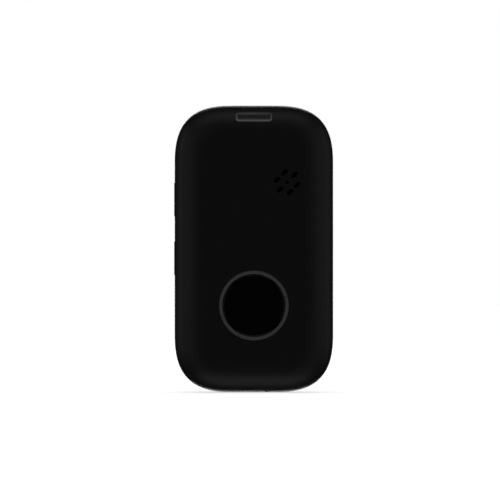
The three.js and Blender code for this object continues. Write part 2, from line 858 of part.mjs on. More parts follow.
function batteryCell() {
  const bevel = 0.7;
  const layer = (inset, y0, y1) =>
    plate(
      roundedRectangle(batteryWidth - inset, battery.length - inset, battery.radius),
      y0,
      y1,
      3,
    );
  return joined(
    layer(0, batteryFront + bevel, batteryBack - bevel),
    layer(2 * bevel, batteryFront, batteryBack),
  ).translate(0, 0, battery.length / 2);
}

function batteryPad() {
  const margin = 5;
  const height = battery.length - 2 * margin;
  const faces = [batteryBack + touch, backInside - touch];
  return pad(batteryWidth - 2 * margin + 2, faces, height).translate(0, 0, battery.length / 2);
}

const circuitFront = batteryFront + 0.6;
const circuitMiddle = circuitFront + circuit.thickness / 2;

function batteryCircuit() {
  const faces = [circuitFront, circuitFront + circuit.thickness];
  return pad(circuit.width, faces, circuit.height).translate(0, 0, circuitTop - circuit.height / 2);
}

function batterySocket() {
  const { width, height } = connector;
  const [y0, y1] = [behindBoard, boardBack + 1.6];
  const skin = 0.4;
  return block([-width / 2, width / 2], [y0, y1], [0, height]).subtract(
    block([skin - width / 2, width / 2 - skin], [y0 + 0.3, y1 - 0.3], [skin, height + 1]),
  );
}

const plugStart = 0.6;
const plugMiddle = boardBack + 0.8;

function batteryPlug() {
  const half = connector.width / 2 - 0.5;
  const faces = [plugMiddle - 0.4, plugMiddle + 0.4];
  return block([-half, half], faces, [plugStart, plugStart + connector.plugLength]);
}

// One battery wire, from the plug up to the cell's protection circuit.
function batteryLead(side) {
  const start = connector.z + plugStart + connector.plugLength + touch;
  const end = circuitTop - circuit.height - touch;
  const rise = end - start;
  const shift = 1;
  const x = connector.x + (side * connector.wireGap) / 2;
  const point = (along, across) =>
    new THREE.Vector3(
      x - shift * across,
      plugMiddle + (circuitMiddle - plugMiddle) * across,
      start + rise * along,
    );
  const stops = [[0, 0], [0.2, 0], [0.5, 0.5], [0.8, 1], [1, 1]];
  const route = new THREE.CatmullRomCurve3(stops.map(([along, across]) => point(along, across)));
  const section = new THREE.Shape().absarc(0, 0, connector.wire, 0, 2 * Math.PI);
  const options = { extrudePath: route, steps: 10, curveSegments: 4 };
  return solidOf(new THREE.ExtrudeGeometry(section, options));
}

function simSocket() {
  const { width, length, height } = sim;
  const half = width / 2;
  const sheet = 0.25;
  const side = (width - sim.card[0]) / 2 - slide;
  return block([-half, half], [behindBoard, behindBoard + height], [0, length]).subtract(
    block(
      [side - half, half - side],
      [behindBoard + sheet, behindBoard + height - sheet],
      [-1, length - 0.3],
    ),
  );
}

function simCard() {
  const [width, length] = sim.card;
  const card = new THREE.Shape();
  card.moveTo(-width / 2, 0);
  card.lineTo(width / 2, 0);
  card.lineTo(width / 2, length - sim.corner);
  card.lineTo(width / 2 - sim.corner, length);
  card.lineTo(-width / 2, length);
  const out = length - sim.length + 0.4; // how far it stands out of the socket
  return plate(card, behindBoard + 0.3, behindBoard + 0.95).translate(0, 0, -out);
}

// ---------------------------------------------------------------- the assembly

const finish = {
  shell: { color: 0x0a0a0b, roughness: 0.55 },
  gloss: { color: 0x040405, roughness: 0.12 },
  ring: { color: 0x34373a, roughness: 0.4 },
  key: { color: 0x0b0b0c, roughness: 0.5 },
  rubber: { color: 0x1c1c1e, roughness: 0.85 },
  silicone: { color: 0xb9bcc0, roughness: 0.7 },
  nylon: { color: 0x24262a, roughness: 0.6 },
  board: { color: 0x14452b, roughness: 0.5 },
  tin: { color: 0xb4b7ba, roughness: 0.35, metalness: 1 },
  steel: { color: 0x3a3b3e, roughness: 0.35, metalness: 1 },
  gold: { color: 0xd3a64a, roughness: 0.25, metalness: 1 },
  copper: { color: 0xb8714a, roughness: 0.35, metalness: 1 },
  ceramic: { color: 0xd8cbb0, roughness: 0.5 },
  chip: { color: 0x17181a, roughness: 0.45 },
  mesh: { color: 0x08080a, roughness: 0.95 },
  foam: { color: 0x2a2b2e, roughness: 1 },
  cone: { color: 0x55585c, roughness: 0.4 },
  foil: { color: 0xa9adb1, roughness: 0.45, metalness: 0.6 },
  tape: { color: 0xc9962f, roughness: 0.4 },
  red: { color: 0x9c1a18, roughness: 0.5 },
  black: { color: 0x101012, roughness: 0.5 },
  white: { color: 0xe6e4dc, roughness: 0.5 },
  label: { color: 0x1f2124, roughness: 0.35 },
};

function piece(name, solid, look, place = {}) {
  const mesh = new THREE.Mesh(geometryOf(solid), new THREE.MeshStandardMaterial(finish[look]));
  mesh.name = name;
  mesh.position.set(place.x ?? 0, place.y ?? 0, place.z ?? 0);
  return mesh;
}

function group(place, ...children) {
  const made = new THREE.Group();
  made.position.set(place.x ?? 0, place.y ?? 0, place.z ?? 0);
  return made.add(...children);
}

function screws(name, size, seatY, tipY, places) {
  return places.map((place, i) => {
    return piece(`${name}_${i + 1}`, crossScrew(size, seatY, tipY), "steel", place);
  });
}

function ringLeds() {
  const reach = membraneRadius - membrane.rimWidth - led.length;
  return Array.from({ length: led.count }, (_, i) => {
    const angle = ((i + 0.5) / led.count) * 2 * Math.PI;
    const place = { x: reach * Math.cos(angle), z: reach * Math.sin(angle) };
    return piece(`ring_led_${i + 1}`, ringLed(), "white", place);
  });
}

const housing = group(
  {},
  piece("front_shell", frontShell(), "shell"),
  piece("rear_shell", rearShell(), "shell"),
  piece("shell_gasket", shellGasket(), "rubber"),
  piece("rating_label", ratingLabel(), "label", { z: label.z }),
  ...screws("case_screw", caseScrew, screwSeat + touch, boardFront + 0.2, caseScrewPlaces),
);

const callButtonGroup = group(
  { z: buttonZ },
  piece("ring_lens", ringLens(), "ring"),
  piece("call_button", callButton(), "gloss"),
  piece("button_membrane", buttonMembrane(), "silicone"),
  piece("membrane_retainer", membraneRetainer(), "nylon"),
  piece("call_switch_base", callSwitchBase(), "nylon"),
  piece("call_switch_stem", callSwitchStem(), "nylon"),
  ...ringLeds(),
);

const volumeKeys = ["up", "down"].map((way, i) =>
  group(
    { z: keyZ[i] },
    piece(`volume_${way}_key`, volumeKey(), "key"),
    piece(`volume_${way}_stem`, sideSwitchStem(), "nylon"),
    piece(`volume_${way}_switch`, sideSwitchBody(), "nylon"),
  ),
);

const speakerGroup = group(
  { x: speakerX, z: speakerZ },
  piece("speaker_mesh", speakerMesh(), "mesh"),
  piece("speaker_gasket", speakerGasket(), "foam"),
  piece("speaker_frame", speakerFrame(), "nylon"),
  piece("speaker_magnet", speakerMagnet(), "tin"),
  piece("speaker_cone", speakerCone(), "cone"),
);

const motorGroup = group(
  { x: motorX, y: motorY, z: motorBottom },
  piece("motor_can", motorCan(), "tin"),
  piece("motor_shaft", motorShaft(), "tin"),
  piece("motor_weight", motorWeight(), "steel"),
  piece("motor_holder", motorHolder(), "rubber"),
);

const gpsPlace = { x: gps.fromSide - halfWidth, z: caseHeight - gps.fromTop };
const microphonePlace = { x: microphone.x, z: boardBottom + microphone.aboveEdge };
const boardGroup = group(
  {},
  piece("main_board", mainBoard(), "board"),
  piece("radio_shield", shieldCover(bays.radio), "tin"),
  piece("radio_chip", chip(bays.radio), "chip"),
  piece("processor_shield", shieldCover(bays.processor), "tin"),
  piece("processor_chip", chip(bays.processor), "chip"),
  piece("gps_antenna", gpsAntenna(), "ceramic", gpsPlace),
  piece("antenna_carrier", antennaCarrier(), "black"),
  piece("antenna_foil", antennaFoil(), "copper"),
  piece("microphone", microphoneCan(), "tin", microphonePlace),
  piece("microphone_boot", microphoneBoot(), "rubber"),
  piece("sim_socket", simSocket(), "tin", sim),
  piece("sim_card", simCard(), "white", sim),
  ...screws("board_screw", boardScrew, behindBoard, onBoard - boardScrew.length, boardScrewPlaces),
);

const chargeGroups = ["left", "right"].map((word, i) =>
  group(
    { x: (2 * i - 1) * contact.x, z: contact.fromEnd },
    piece(`charge_pin_${word}`, chargePin(), "gold"),
    piece(`charge_contact_${word}`, chargeContact(), "gold"),
  ),
);

const batteryGroup = group(
  {},
  piece("battery_cell", batteryCell(), "foil", { z: battery.bottom }),
  piece("battery_pad", batteryPad(), "foam", { z: battery.bottom }),
  piece("battery_circuit", batteryCircuit(), "tape"),
  piece("battery_socket", batterySocket(), "white", connector),
  piece("battery_plug", batteryPlug(), "white", connector),
  piece("battery_lead_red", batteryLead(-1), "red"),
  piece("battery_lead_black", batteryLead(1), "black"),
);

const pager = group(
  {},
  housing,
  callButtonGroup,
  ...volumeKeys,
  speakerGroup,
  motorGroup,
  boardGroup,
  ...chargeGroups,
  batteryGroup,
);

export default pager;
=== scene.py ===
# %% [markdown]
# # A pocket pager around its CAD frame
# The CAD model fixes every size, place and joint of this pager. Blender gives it its looks:
# two casing halves with real wall thickness and softened edges, a polished call button in a
# smoke-grey light ring, a speaker grille with woven cloth behind it, and a finish for each part.
# Every length is in metres. MM turns a size in millimetres into metres. Sizes from the CAD model
# are read from the frame, and the rest are named here.

# %% Load the frame
import math

import bmesh
import bpy
from mathutils import Matrix, Vector


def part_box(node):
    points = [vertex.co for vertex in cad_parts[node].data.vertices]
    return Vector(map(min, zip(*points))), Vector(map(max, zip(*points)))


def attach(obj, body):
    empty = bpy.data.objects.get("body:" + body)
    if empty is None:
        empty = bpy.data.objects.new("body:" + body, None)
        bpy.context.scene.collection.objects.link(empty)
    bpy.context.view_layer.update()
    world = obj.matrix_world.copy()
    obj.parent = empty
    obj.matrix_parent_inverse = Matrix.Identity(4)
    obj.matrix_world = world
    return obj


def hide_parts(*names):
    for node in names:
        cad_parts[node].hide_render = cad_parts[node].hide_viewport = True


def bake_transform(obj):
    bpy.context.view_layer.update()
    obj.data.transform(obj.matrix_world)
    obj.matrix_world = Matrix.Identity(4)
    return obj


MM = 0.001
TOUCH = 0.03 * MM  # between pieces that rest on each other
SLIDE = 0.1 * MM  # between pieces that slide
PAST = 0.02 * MM  # how far a cut goes past a face that it would otherwise only touch
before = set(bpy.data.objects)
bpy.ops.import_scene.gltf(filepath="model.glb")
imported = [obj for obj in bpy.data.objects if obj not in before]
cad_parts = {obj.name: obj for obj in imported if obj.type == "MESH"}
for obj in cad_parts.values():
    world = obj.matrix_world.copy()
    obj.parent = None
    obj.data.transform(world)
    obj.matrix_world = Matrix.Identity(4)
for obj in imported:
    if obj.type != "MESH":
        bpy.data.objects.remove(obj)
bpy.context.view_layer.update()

# %% [markdown]
# ## A helper for node trees
# Materials and Geometry Nodes are both node trees. One method, make, adds any node from its
# type, its settings and the values of its inputs. What it returns can be added, multiplied and
# raised to powers like a number, which keeps the maths readable.

# %% Node helper
class Value:
    """An output socket. Arithmetic on it adds Math nodes to its tree."""

    def __init__(self, owner, socket):
        self.owner = owner
        self.socket = socket

    def math(self, operation, *others):
        return self.owner.make("ShaderNodeMath", {"operation": operation}, Value=[self, *others])

    def reflected(self, operation, other):
        return self.owner.make("ShaderNodeMath", {"operation": operation}, Value=[other, self])

    def __add__(self, other):
        return self.math("ADD", other)

    def __mul__(self, other):
        return self.math("MULTIPLY", other)

    def __sub__(self, other):
        return self.math("SUBTRACT", other)

    def __rsub__(self, other):
        return self.reflected("SUBTRACT", other)

    def __pow__(self, other):
        return self.math("POWER", other)

    __radd__ = __add__
    __rmul__ = __mul__


class Tree:
    """One node tree being built."""

    def __init__(self, tree):
        self.tree = tree

    def make(self, kind, settings=None, out=0, **inputs):
        """Adds a node. Settings come first, then inputs, where a list feeds sockets of one name."""
        node = self.tree.nodes.new(kind)
        for name, value in (settings or {}).items():
            setattr(node, name, value)
        for name, given in inputs.items():
            label = name.replace("_", " ")
            sockets = [s for s in node.inputs if s.name == label and s.enabled]
            values = given if isinstance(given, list) else [given]
            if sockets[0].is_multi_input:
                sockets = sockets[:1] * len(values)
            for socket, value in zip(sockets, values):
                self.feed(socket, value)
        shown = [s for s in node.outputs if s.enabled]
        if isinstance(out, int):
            return Value(self, shown[out])
        return Value(self, next(s for s in shown if s.name == out))

    def feed(self, socket, value):
        if isinstance(value, Value):
            self.tree.links.new(value.socket, socket)
        else:
            socket.default_value = value


# %% [markdown]
# ## A helper for finishes
# Each finish is one Principled shader. What is the same all over a surface is set on the
# shader's own sockets, and what changes from place to place is fed by nodes. Patterns read
# Object coordinates, which stay with the piece when it moves.

# %% Finish helper
class Finish(Tree):
    """A material with one Principled shader. Keyword names are its sockets, with _ for spaces."""

    def __init__(self, name, **fixed):
        self.material = bpy.data.materials.new(name)
        self.material.use_nodes = True
        super().__init__(self.material.node_tree)
        self.shader = self.tree.nodes["Principled BSDF"]
        self.place = self.make("ShaderNodeTexCoord", out="Object")
        self.paint(**fixed)

    def paint(self, **sockets):
        """Sets or links the shader's sockets, and returns the material."""
        for name, value in sockets.items():
            self.feed(self.shader.inputs[name.replace("_", " ")], value)
        return self.material

    def noise(self, size, detail=2.0, roughness=0.5, place=None):
        """Noise from 0 to 1 whose blobs are about this size in metres."""
        where = place or self.place
        return self.make(
            "ShaderNodeTexNoise", Vector=where, Scale=1 / size, Detail=detail, Roughness=roughness
        )

    def stretched(self, x, y, z):
        """Object coordinates scaled along each axis, for brushed or layered patterns."""
        return self.make("ShaderNodeMapping", Vector=self.place, Scale=(x, y, z))

    def split(self):
        """The three Object coordinates as numbers in metres."""
        parts = self.make("ShaderNodeSeparateXYZ", Vector=self.place).socket.node.outputs
        return [Value(self, part) for part in parts]

    def blend(self, low, high, amount):
        """A colour between two colours. Either may be a link."""
        settings = {"data_type": "RGBA"}
        return self.make("ShaderNodeMix", settings, Factor=amount, A=solid(low), B=solid(high))

    def bump(self, height, depth):
        """A normal from a height of 0 to 1 that stands for this depth in metres."""
        return self.make("ShaderNodeBump", Strength=1.0, Distance=depth, Height=height)


def solid(colour):
    """A colour with its alpha, or a link left as it is."""
    return colour if isinstance(colour, Value) else (*colour, 1)


def grey(level, tint=0.0):
    """A grey in linear light. Tint above 0 makes it cooler."""
    return (level * (1 - tint), level, level * (1 + tint))


# %% [markdown]
# ## Moulded plastics
# The casing is black plastic from a spark-eroded mould: a fine, even grain that scatters light
# softly. A little noise in roughness stands for handling. The strap channel is the same black
# plastic but smoother, and its colour is painted a much lighter grey as painted light, so that the
# rounded lip of its slot shows as a lit band.

# %% Casing finishes
def moulded(name, level, roughness, grain, depth, tint=0.03):
    """Moulded plastic: slightly uneven colour, grain of one size, and soft handling marks."""
    finish = Finish(name, IOR=1.49)
    cloud = finish.noise(9 * MM, detail=3)
    handled = finish.noise(2.2 * MM, detail=4, roughness=0.65)
    fine = finish.noise(grain, detail=1.5)
    return finish.paint(
        Base_Color=finish.blend(grey(level * 0.8, tint), grey(level * 1.25, tint), cloud),
        Roughness=handled * 0.12 + (roughness - 0.06),
        Normal=finish.bump(fine, depth),
    )


casing = moulded("casing_spark_grain", 0.009, 0.5, 0.32 * MM, 0.012 * MM)
# painted light: the channel is far lighter than the black casing it is cut from, standing in for
# light on its lip and floor
channel = moulded("strap_channel_satin", 0.34, 0.3, 1.6 * MM, 0.002 * MM)
key_plastic = moulded("volume_key_plastic", 0.016, 0.42, 0.4 * MM, 0.006 * MM)
nylon = moulded("glass_filled_nylon", 0.03, 0.55, 0.5 * MM, 0.02 * MM, tint=0.06)
chip_epoxy = moulded("chip_epoxy", 0.012, 0.5, 0.2 * MM, 0.01 * MM)
white_plastic = moulded("white_plastic", 0.78, 0.35, 0.8 * MM, 0.005 * MM, tint=-0.03)
print("moulded finishes made")

# %% [markdown]
# ## The polished button and its light ring
# The call button is a piano-black cap. A gloss surface shows only what it mirrors, so its own
# colour is almost nothing, and faint hairlines in its roughness keep it from looking like glass.
# The ring around it is a smoke-grey diffuser: satin, a little cloudy, with two hairline witness
# marks across it where the mould closed.

# %% Button and ring finishes
def piano_black():
    finish = Finish("piano_black", Base_Color=solid(grey(0.0016)), IOR=1.5)
    hairlines = finish.noise(0.35 * MM, detail=6, roughness=0.8, place=finish.stretched(1, 1, 0.08))
    waves = finish.noise(5 * MM, detail=1)
    return finish.paint(
        Roughness=hairlines * 0.05 + 0.035,
        Normal=finish.bump(waves, 0.006 * MM),
    )


WITNESS_TURNS = (math.radians(15), math.radians(198))
WITNESS_HALF_WIDTH = math.radians(0.45)


def smoke_diffuser(centre_z):
    finish = Finish("smoke_diffuser", IOR=1.49)
    x, _, z = finish.split()
    turn = (z - centre_z).math("ARCTAN2", x)
    marks = 0.0
    for place in WITNESS_TURNS:
        wrapped = place - 2 * math.pi if place > math.pi else place
        marks = (turn - wrapped).math("ABSOLUTE").math("LESS_THAN", WITNESS_HALF_WIDTH) + marks
    cloud = finish.noise(1.6 * MM, detail=3)
    lit = finish.blend(grey(0.17, 0.04), grey(0.205, 0.04), cloud)
    return finish.paint(
        Base_Color=finish.blend(lit, grey(0.012), marks),
        Roughness=finish.noise(0.5 * MM) * 0.1 + 0.36,
        Normal=finish.bump(finish.noise(0.4 * MM) - marks, 0.008 * MM),
    )


ring_low, ring_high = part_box("ring_lens")
ring_centre = (ring_low + ring_high) / 2
button_at = (ring_centre.x, ring_centre.z)
button_black = piano_black()
diffuser = smoke_diffuser(ring_centre.z)
print("call button centre", [round(c / MM, 2) for c in ring_centre], "mm")

# %% [markdown]
# ## Rubber, film and cloth
# Soft parts are matt with a coarser, softer bump than hard plastic. Films are thin and smooth with
# slow waves. The speaker cloth is woven from real strands further down, so its finish is plain yarn.

# %% Soft finishes
def soft(name, colour, roughness, grain, depth, sheen=0.0):
    """Elastomer, foam or yarn."""
    finish = Finish(name, Sheen_Weight=sheen, IOR=1.45)
    patches = finish.noise(3 * MM, detail=3)
    pores = finish.noise(grain, detail=4, roughness=0.6)
    darker = tuple(part * 0.75 for part in colour)
    return finish.paint(
        Base_Color=finish.blend(darker, colour, patches),
        Roughness=pores * 0.15 + (roughness - 0.08),
        Normal=finish.bump(pores, depth),
    )


rubber = soft("black_rubber", grey(0.022), 0.75, 0.6 * MM, 0.02 * MM)
silicone = soft("pale_silicone", grey(0.46, 0.03), 0.5, 1.2 * MM, 0.008 * MM)
foam = soft("charcoal_foam", grey(0.03), 0.9, 0.35 * MM, 0.06 * MM)
yarn = soft("acoustic_yarn", grey(0.008), 0.7, 0.08 * MM, 0.004 * MM, sheen=0.2)
film = soft("smoke_film", grey(0.12, 0.04), 0.25, 2.5 * MM, 0.01 * MM)
red_wire = soft("red_insulation", (0.45, 0.02, 0.015), 0.4, 0.5 * MM, 0.004 * MM)
black_wire = soft("black_insulation", grey(0.015), 0.4, 0.5 * MM, 0.004 * MM)
ceramic = soft("fired_ceramic", (0.72, 0.62, 0.44), 0.55, 0.25 * MM, 0.01 * MM)

# %% [markdown]
# ## Metals
# Sheet metal is rolled, so it carries fine lines one way. Stretching the noise along one axis
# gives them. Plating is even, and dulls in slow patches where it has been touched.

# %% Metal finishes
def metal(name, colour, roughness, lines=0.12 * MM, along=(1, 1, 0.06), depth=0.004 * MM):
    """Rolled or plated metal."""
    finish = Finish(name, Metallic=1.0)
    brushed = finish.noise(lines, detail=3, place=finish.stretched(*along))
    patches = finish.noise(4 * MM, detail=4, roughness=0.6)
    dull = tuple(part * 0.72 for part in colour)
    return finish.paint(
        Base_Color=finish.blend(dull, colour, patches),
        Roughness=brushed * 0.14 + patches * 0.1 + (roughness - 0.12),
        Normal=finish.bump(brushed, depth),
    )


tinned_steel = metal("tinned_steel", grey(0.56, 0.02), 0.32)
screw_steel = metal("black_zinc_screw", grey(0.06, 0.04), 0.36, lines=0.2 * MM, along=(1, 1, 1))
gold = metal("gold_plating", (0.83, 0.6, 0.26), 0.22, lines=0.3 * MM, along=(1, 1, 1))
copper = metal("copper_foil", (0.72, 0.38, 0.2), 0.3)
pouch = metal("pouch_foil", grey(0.6, 0.02), 0.38, lines=1.2 * MM, along=(1, 1, 1), depth=0.03 * MM)

# %% [markdown]
# ## The board and its tape
# Solder mask is a clear green varnish over copper tracks. The tracks show as raised, lighter
# lines: a brick pattern with thin mortar gives runs that turn only at right angles, as tracks do.
# Polyimide tape is clear amber film with slow ripples.

# %% Board and tape finishes
def solder_mask():
    finish = Finish("green_solder_mask", Coat_Weight=0.4, IOR=1.52)
    settings = {"offset": 0.5, "squash": 0.6, "squash_frequency": 3}
    upright = finish.make("ShaderNodeMapping", Vector=finish.place, Rotation=(math.pi / 2, 0, 0))
    tracks = finish.make(
        "ShaderNodeTexBrick", settings, out="Fac", Vector=upright, Scale=1 / (2.1 * MM),
        Mortar_Size=0.045, Mortar_Smooth=0.2, Brick_Width=0.9, Row_Height=0.24,
    )
    return finish.paint(
        Base_Color=finish.blend((0.006, 0.062, 0.026), (0.022, 0.16, 0.07), tracks),
        Roughness=finish.noise(1 * MM) * 0.12 + 0.22,
        Normal=finish.bump(tracks, 0.03 * MM),
    )


def amber_tape():
    finish = Finish("amber_polyimide", Coat_Weight=0.5, IOR=1.6)
    ripples = finish.noise(1.5 * MM, detail=2)
    return finish.paint(
        Base_Color=finish.blend((0.4, 0.17, 0.02), (0.66, 0.36, 0.06), ripples),
        Roughness=ripples * 0.15 + 0.18,
        Normal=finish.bump(ripples, 0.02 * MM),
    )


board_mask = solder_mask()
polyimide = amber_tape()
print(len(bpy.data.materials), "finishes so far")

# %% [markdown]
# ## Rings, lofts and turned bodies
# Most pieces here are closed bodies made from rings of points. A loft joins rings one after
# another and fills both ends. Because every ring has the same number of points, the sides are
# clean four-sided faces. A turned body is a loft of circles.

# %% Mesh helpers
SHARP = math.radians(35)


def in_scene(name, data):
    """A new object with this data, in the scene at the origin."""
    made = bpy.data.objects.new(name, data)
    bpy.context.scene.collection.objects.link(made)
    return made


def finished(name, shape, finish):
    """Turns a bmesh into an object at the origin, with smooth faces and sharp edges past an angle."""
    mesh = bpy.data.meshes.new(name)
    shape.to_mesh(mesh)
    shape.free()
    mesh.materials.append(finish)
    mesh.shade_smooth()
    mesh.set_sharp_from_angle(angle=SHARP)
    return in_scene(name, mesh)


def skinned(shape, rings, closed=False):
    """Adds rings of equally many points and the faces between them. Returns the new rows."""
    rows = [[shape.verts.new(point) for point in ring] for ring in rings]
    nexts = rows[1:] + rows[:1] if closed else rows[1:]
    for near, far in zip(rows, nexts):
        for i, corner in enumerate(near):
            j = (i + 1) % len(near)
            shape.faces.new((corner, near[j], far[j], far[i]))
    return rows


def lofted(rings):
    """A closed bmesh through rings of equally many points. The first and last are filled."""
    shape = bmesh.new()
    rows = skinned(shape, rings)
    shape.faces.new(rows[0])
    shape.faces.new(rows[-1])
    bmesh.ops.remove_doubles(shape, verts=shape.verts, dist=1e-4 * MM)
    bmesh.ops.recalc_face_normals(shape, faces=shape.faces)
    return shape


def circle(radius, y, centre, steps=96):
    """A ring of points round the Y axis through centre, which is an (x, z) pair."""
    turns = [2 * math.pi * i / steps for i in range(steps)]
    return [
        (centre[0] + radius * math.cos(t), y, centre[1] + radius * math.sin(t)) for t in turns
    ]


def turned(profile, centre, steps=96):
    """A closed body from (radius, y) points, turned about the Y axis through (x, z)."""
    return lofted([circle(max(radius, 0.004 * MM), y, centre, steps) for radius, y in profile])


def four_corners(steps):
    """The signs of u and v, and the angle, at each point of a ring with four corners."""
    for quarter, (sign_u, sign_v) in enumerate([(1, 1), (-1, 1), (-1, -1), (1, -1)]):
        for step in range(steps + 1):
            yield sign_u, sign_v, (quarter + step / steps) * math.pi / 2


def rounded(half_u, half_v, radius, steps=8):
    """A flat ring of (u, v) points: a rectangle with round corners, or a pill or a circle."""
    ring = []
    for sign_u, sign_v, turn in four_corners(steps):
        u = sign_u * (half_u - radius) + radius * math.cos(turn)
        ring.append((u, sign_v * (half_v - radius) + radius * math.sin(turn)))
    return ring


def joined(*shapes):
    """Several bmeshes as one, each still closed by itself."""
    whole = bmesh.new()
    for shape in shapes:
        mesh = bpy.data.meshes.new("part")
        shape.to_mesh(mesh)
        shape.free()
        whole.from_mesh(mesh)
        bpy.data.meshes.remove(mesh)
    return whole


def plain(piece):
    """The piece with its modifiers turned into mesh."""
    ready = bpy.data.meshes.new_from_object(
        piece.evaluated_get(bpy.context.evaluated_depsgraph_get())
    )
    piece.modifiers.clear()
    old = piece.data
    piece.data = ready
    ready.name = old.name
    bpy.data.meshes.remove(old)
    return piece


def open_edges(piece):
    """How many edges don't join exactly two faces."""
    shape = bmesh.new()
    shape.from_mesh(piece.data)
    count = sum(not edge.is_manifold for edge in shape.edges)
    shape.free()
    return count


def flat_faces_first(piece):
    """Lets large faces set the normals, so that a cut leaves no streaks across a flat face."""
    step = piece.modifiers.new("Weighted normals", "WEIGHTED_NORMAL")
    step.keep_sharp = True
    return plain(piece)


def boolean(piece, tool, operation="DIFFERENCE"):
    """Cuts or joins with the exact solver at a larger scale, then removes the tool."""
    for mesh in (piece.data, tool.data):
        mesh.transform(Matrix.Scale(1 / MM, 4))
    step = piece.modifiers.new("Boolean", "BOOLEAN")
    step.operation = operation
    step.solver = "EXACT"
    step.object = tool
    plain(piece)
    piece.data.transform(Matrix.Scale(MM, 4))
    bpy.data.objects.remove(tool)
    return piece


# %% [markdown]
# ## The rule behind the casing's shape
# Seen from the front, the casing is a rectangle with superellipse corners: fuller than arcs,
# so the outline has no point where straight turns into round. The same rule, with its own
# power, rounds the front and back edges like a pillow. Both halves are therefore lofts of one
# outline drawn at different insets, and the inner wall is the same loft one wall further in.

# %% The casing's outline and edge rows
front_low, front_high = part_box("front_shell")
rear_low, rear_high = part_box("rear_shell")
half_width = (rear_high.x - rear_low.x) / 2
half_height = (rear_high.z - rear_low.z) / 2
front_y = front_low.y
back_y = rear_high.y

WALL = 1.6 * MM
CORNER = {"x": 14.8 * MM, "z": 15 * MM, "power": 2.73, "steps": 28}
FRONT_ROUND = {"reach": 8 * MM, "depth": 7 * MM, "power": 2.3, "facing": -1}
REAR_ROUND = {"reach": 6.5 * MM, "depth": 4.1 * MM, "power": 2.3, "facing": 1}
ROUND_STEPS = 18
front_edge = front_y + FRONT_ROUND["depth"]
rear_edge = back_y - REAR_ROUND["depth"]


def superellipse(turn, power):
    """The point in this direction on the curve where |u|^power + |v|^power is 1."""
    u, v = abs(math.cos(turn)), abs(math.sin(turn))
    size = (u**power + v**power) ** (-1 / power)
    return u * size, v * size


def outline(inset, y):
    """The casing's outline at this y, moved inwards by inset."""
    ring = []
    for sign_x, sign_z, turn in four_corners(CORNER["steps"]):
        u, v = superellipse(turn, CORNER["power"])
        x = half_width - CORNER["x"] + (CORNER["x"] - inset) * u
        z = half_height - CORNER["z"] + (CORNER["z"] - inset) * v
        ring.append((sign_x * x, y, half_height + sign_z * z))
    return ring


def pillow(rounding, edge, offset=0.0):
    """(inset, y) rows from the flat face out to the straight side, offset inwards."""
    rows = []
    for step in range(ROUND_STEPS, -1, -1):
        across, along = superellipse(step / ROUND_STEPS * math.pi / 2, rounding["power"])
        inset = offset + rounding["reach"] * (1 - across)
        rows.append((inset, edge + rounding["facing"] * (rounding["depth"] - offset) * along))
    return rows


def front_inset(y):
    """How far the outer surface of the front half lies inside its widest line at this y."""
    down = max((front_edge - y) / FRONT_ROUND["depth"], 0.0)
    across = (1 - min(down, 1.0) ** FRONT_ROUND["power"]) ** (1 / FRONT_ROUND["power"])
    return FRONT_ROUND["reach"] * (1 - across)


def casing_half(rows):
    return lofted([outline(inset, y) for inset, y in rows])


# %% [markdown]
# ## The front half as one closed wall
# Its profile starts at the middle of the front face, runs out over the pillow to the seam,
# steps in to the tongue that enters the rear half, and returns along the inside. The seam
# edge is broken by a small round, because a moulded edge is never a perfect corner and the
# thin highlight along it is what makes two halves read as two pieces.

# %% Front half, before its openings
SEAM_GAP = 0.06 * MM
REAR_DEPTH = 4.3 * MM
parting_y = back_y - REAR_DEPTH
TONGUE_INSET = 0.9 * MM
TONGUE_CHAMFER = 0.06 * MM
EDGE = 0.16 * MM


def broken_edge(inset, y, out, along):
    """Rows that round a corner at (inset, y): out and along say which way the solid lies."""
    turns = [i / 3 * math.pi / 2 for i in range(4)]
    return [
        (inset + out * EDGE * (1 - math.cos(t)), y + along * EDGE * (1 - math.sin(t)))
        for t in turns
    ]


inner_front = pillow(FRONT_ROUND, front_edge, WALL)
front_rows = pillow(FRONT_ROUND, front_edge)
front_rows += broken_edge(0.0, parting_y - SEAM_GAP / 2, 1, -1)
front_rows += [(TONGUE_INSET, parting_y - SEAM_GAP / 2)]
front_rows += [(TONGUE_INSET, front_high.y - TONGUE_CHAMFER)]
front_rows += [(TONGUE_INSET + TONGUE_CHAMFER, front_high.y), (WALL, front_high.y)]
front_rows += list(reversed(inner_front))
front_shell = finished("front_shell_fine", casing_half(front_rows), casing)
front_shell.data.materials.append(channel)
print("front half:", len(front_shell.data.vertices), "points,", open_edges(front_shell), "open edges")

# %% [markdown]
# ## Cutters with a flared mouth
# A hole in a moulding has a small round where it meets the surface. Instead of bevelling after
# the cut, which is fragile on curved walls, each cutter widens at its mouth along a quarter
# round. It follows the real surface, so the round is even where the surface curves away.

# %% Hole cutters
MOUTH = ((1.25, -0.12), (0.55, 0.12), (0.2, 0.45), (0.0, 1.0))
OUTSIDE = 1 * MM


def on_front(u, v, down):
    return (u, front_y + down, v)


def on_back(u, v, down):
    return (u, back_y - down, v)


def on_left(u, v, down):
    return (front_inset(u) - half_width + down, u, v)


def on_bottom(u, v, down):
    return (u, v, front_inset(v) + down)


def cutter(path, place, depth, lip):
    """A closed tool. path(grow) is the hole's outline grown by grow, place puts it on a surface."""
    rows = [(MOUTH[0][0] * lip, -OUTSIDE)]
    rows += [(out * lip, down * lip) for out, down in MOUTH] + [(0.0, depth)]
    return lofted([[place(u, v, down) for u, v in path(grow)] for grow, down in rows])


def hole(centre, half_u, half_v, radius, tilt=0.0, steps=8):
    """The outline of a rounded hole as a function of how much it is grown."""
    turn = Matrix.Rotation(tilt, 2)

    def path(grow):
        flat = rounded(half_u + grow, half_v + grow, radius + grow, steps)
        return [Vector(centre) + turn @ Vector(point) for point in flat]

    return path


def round_hole(centre, radius, steps=24):
    return hole(centre, radius, radius, radius, steps=steps)


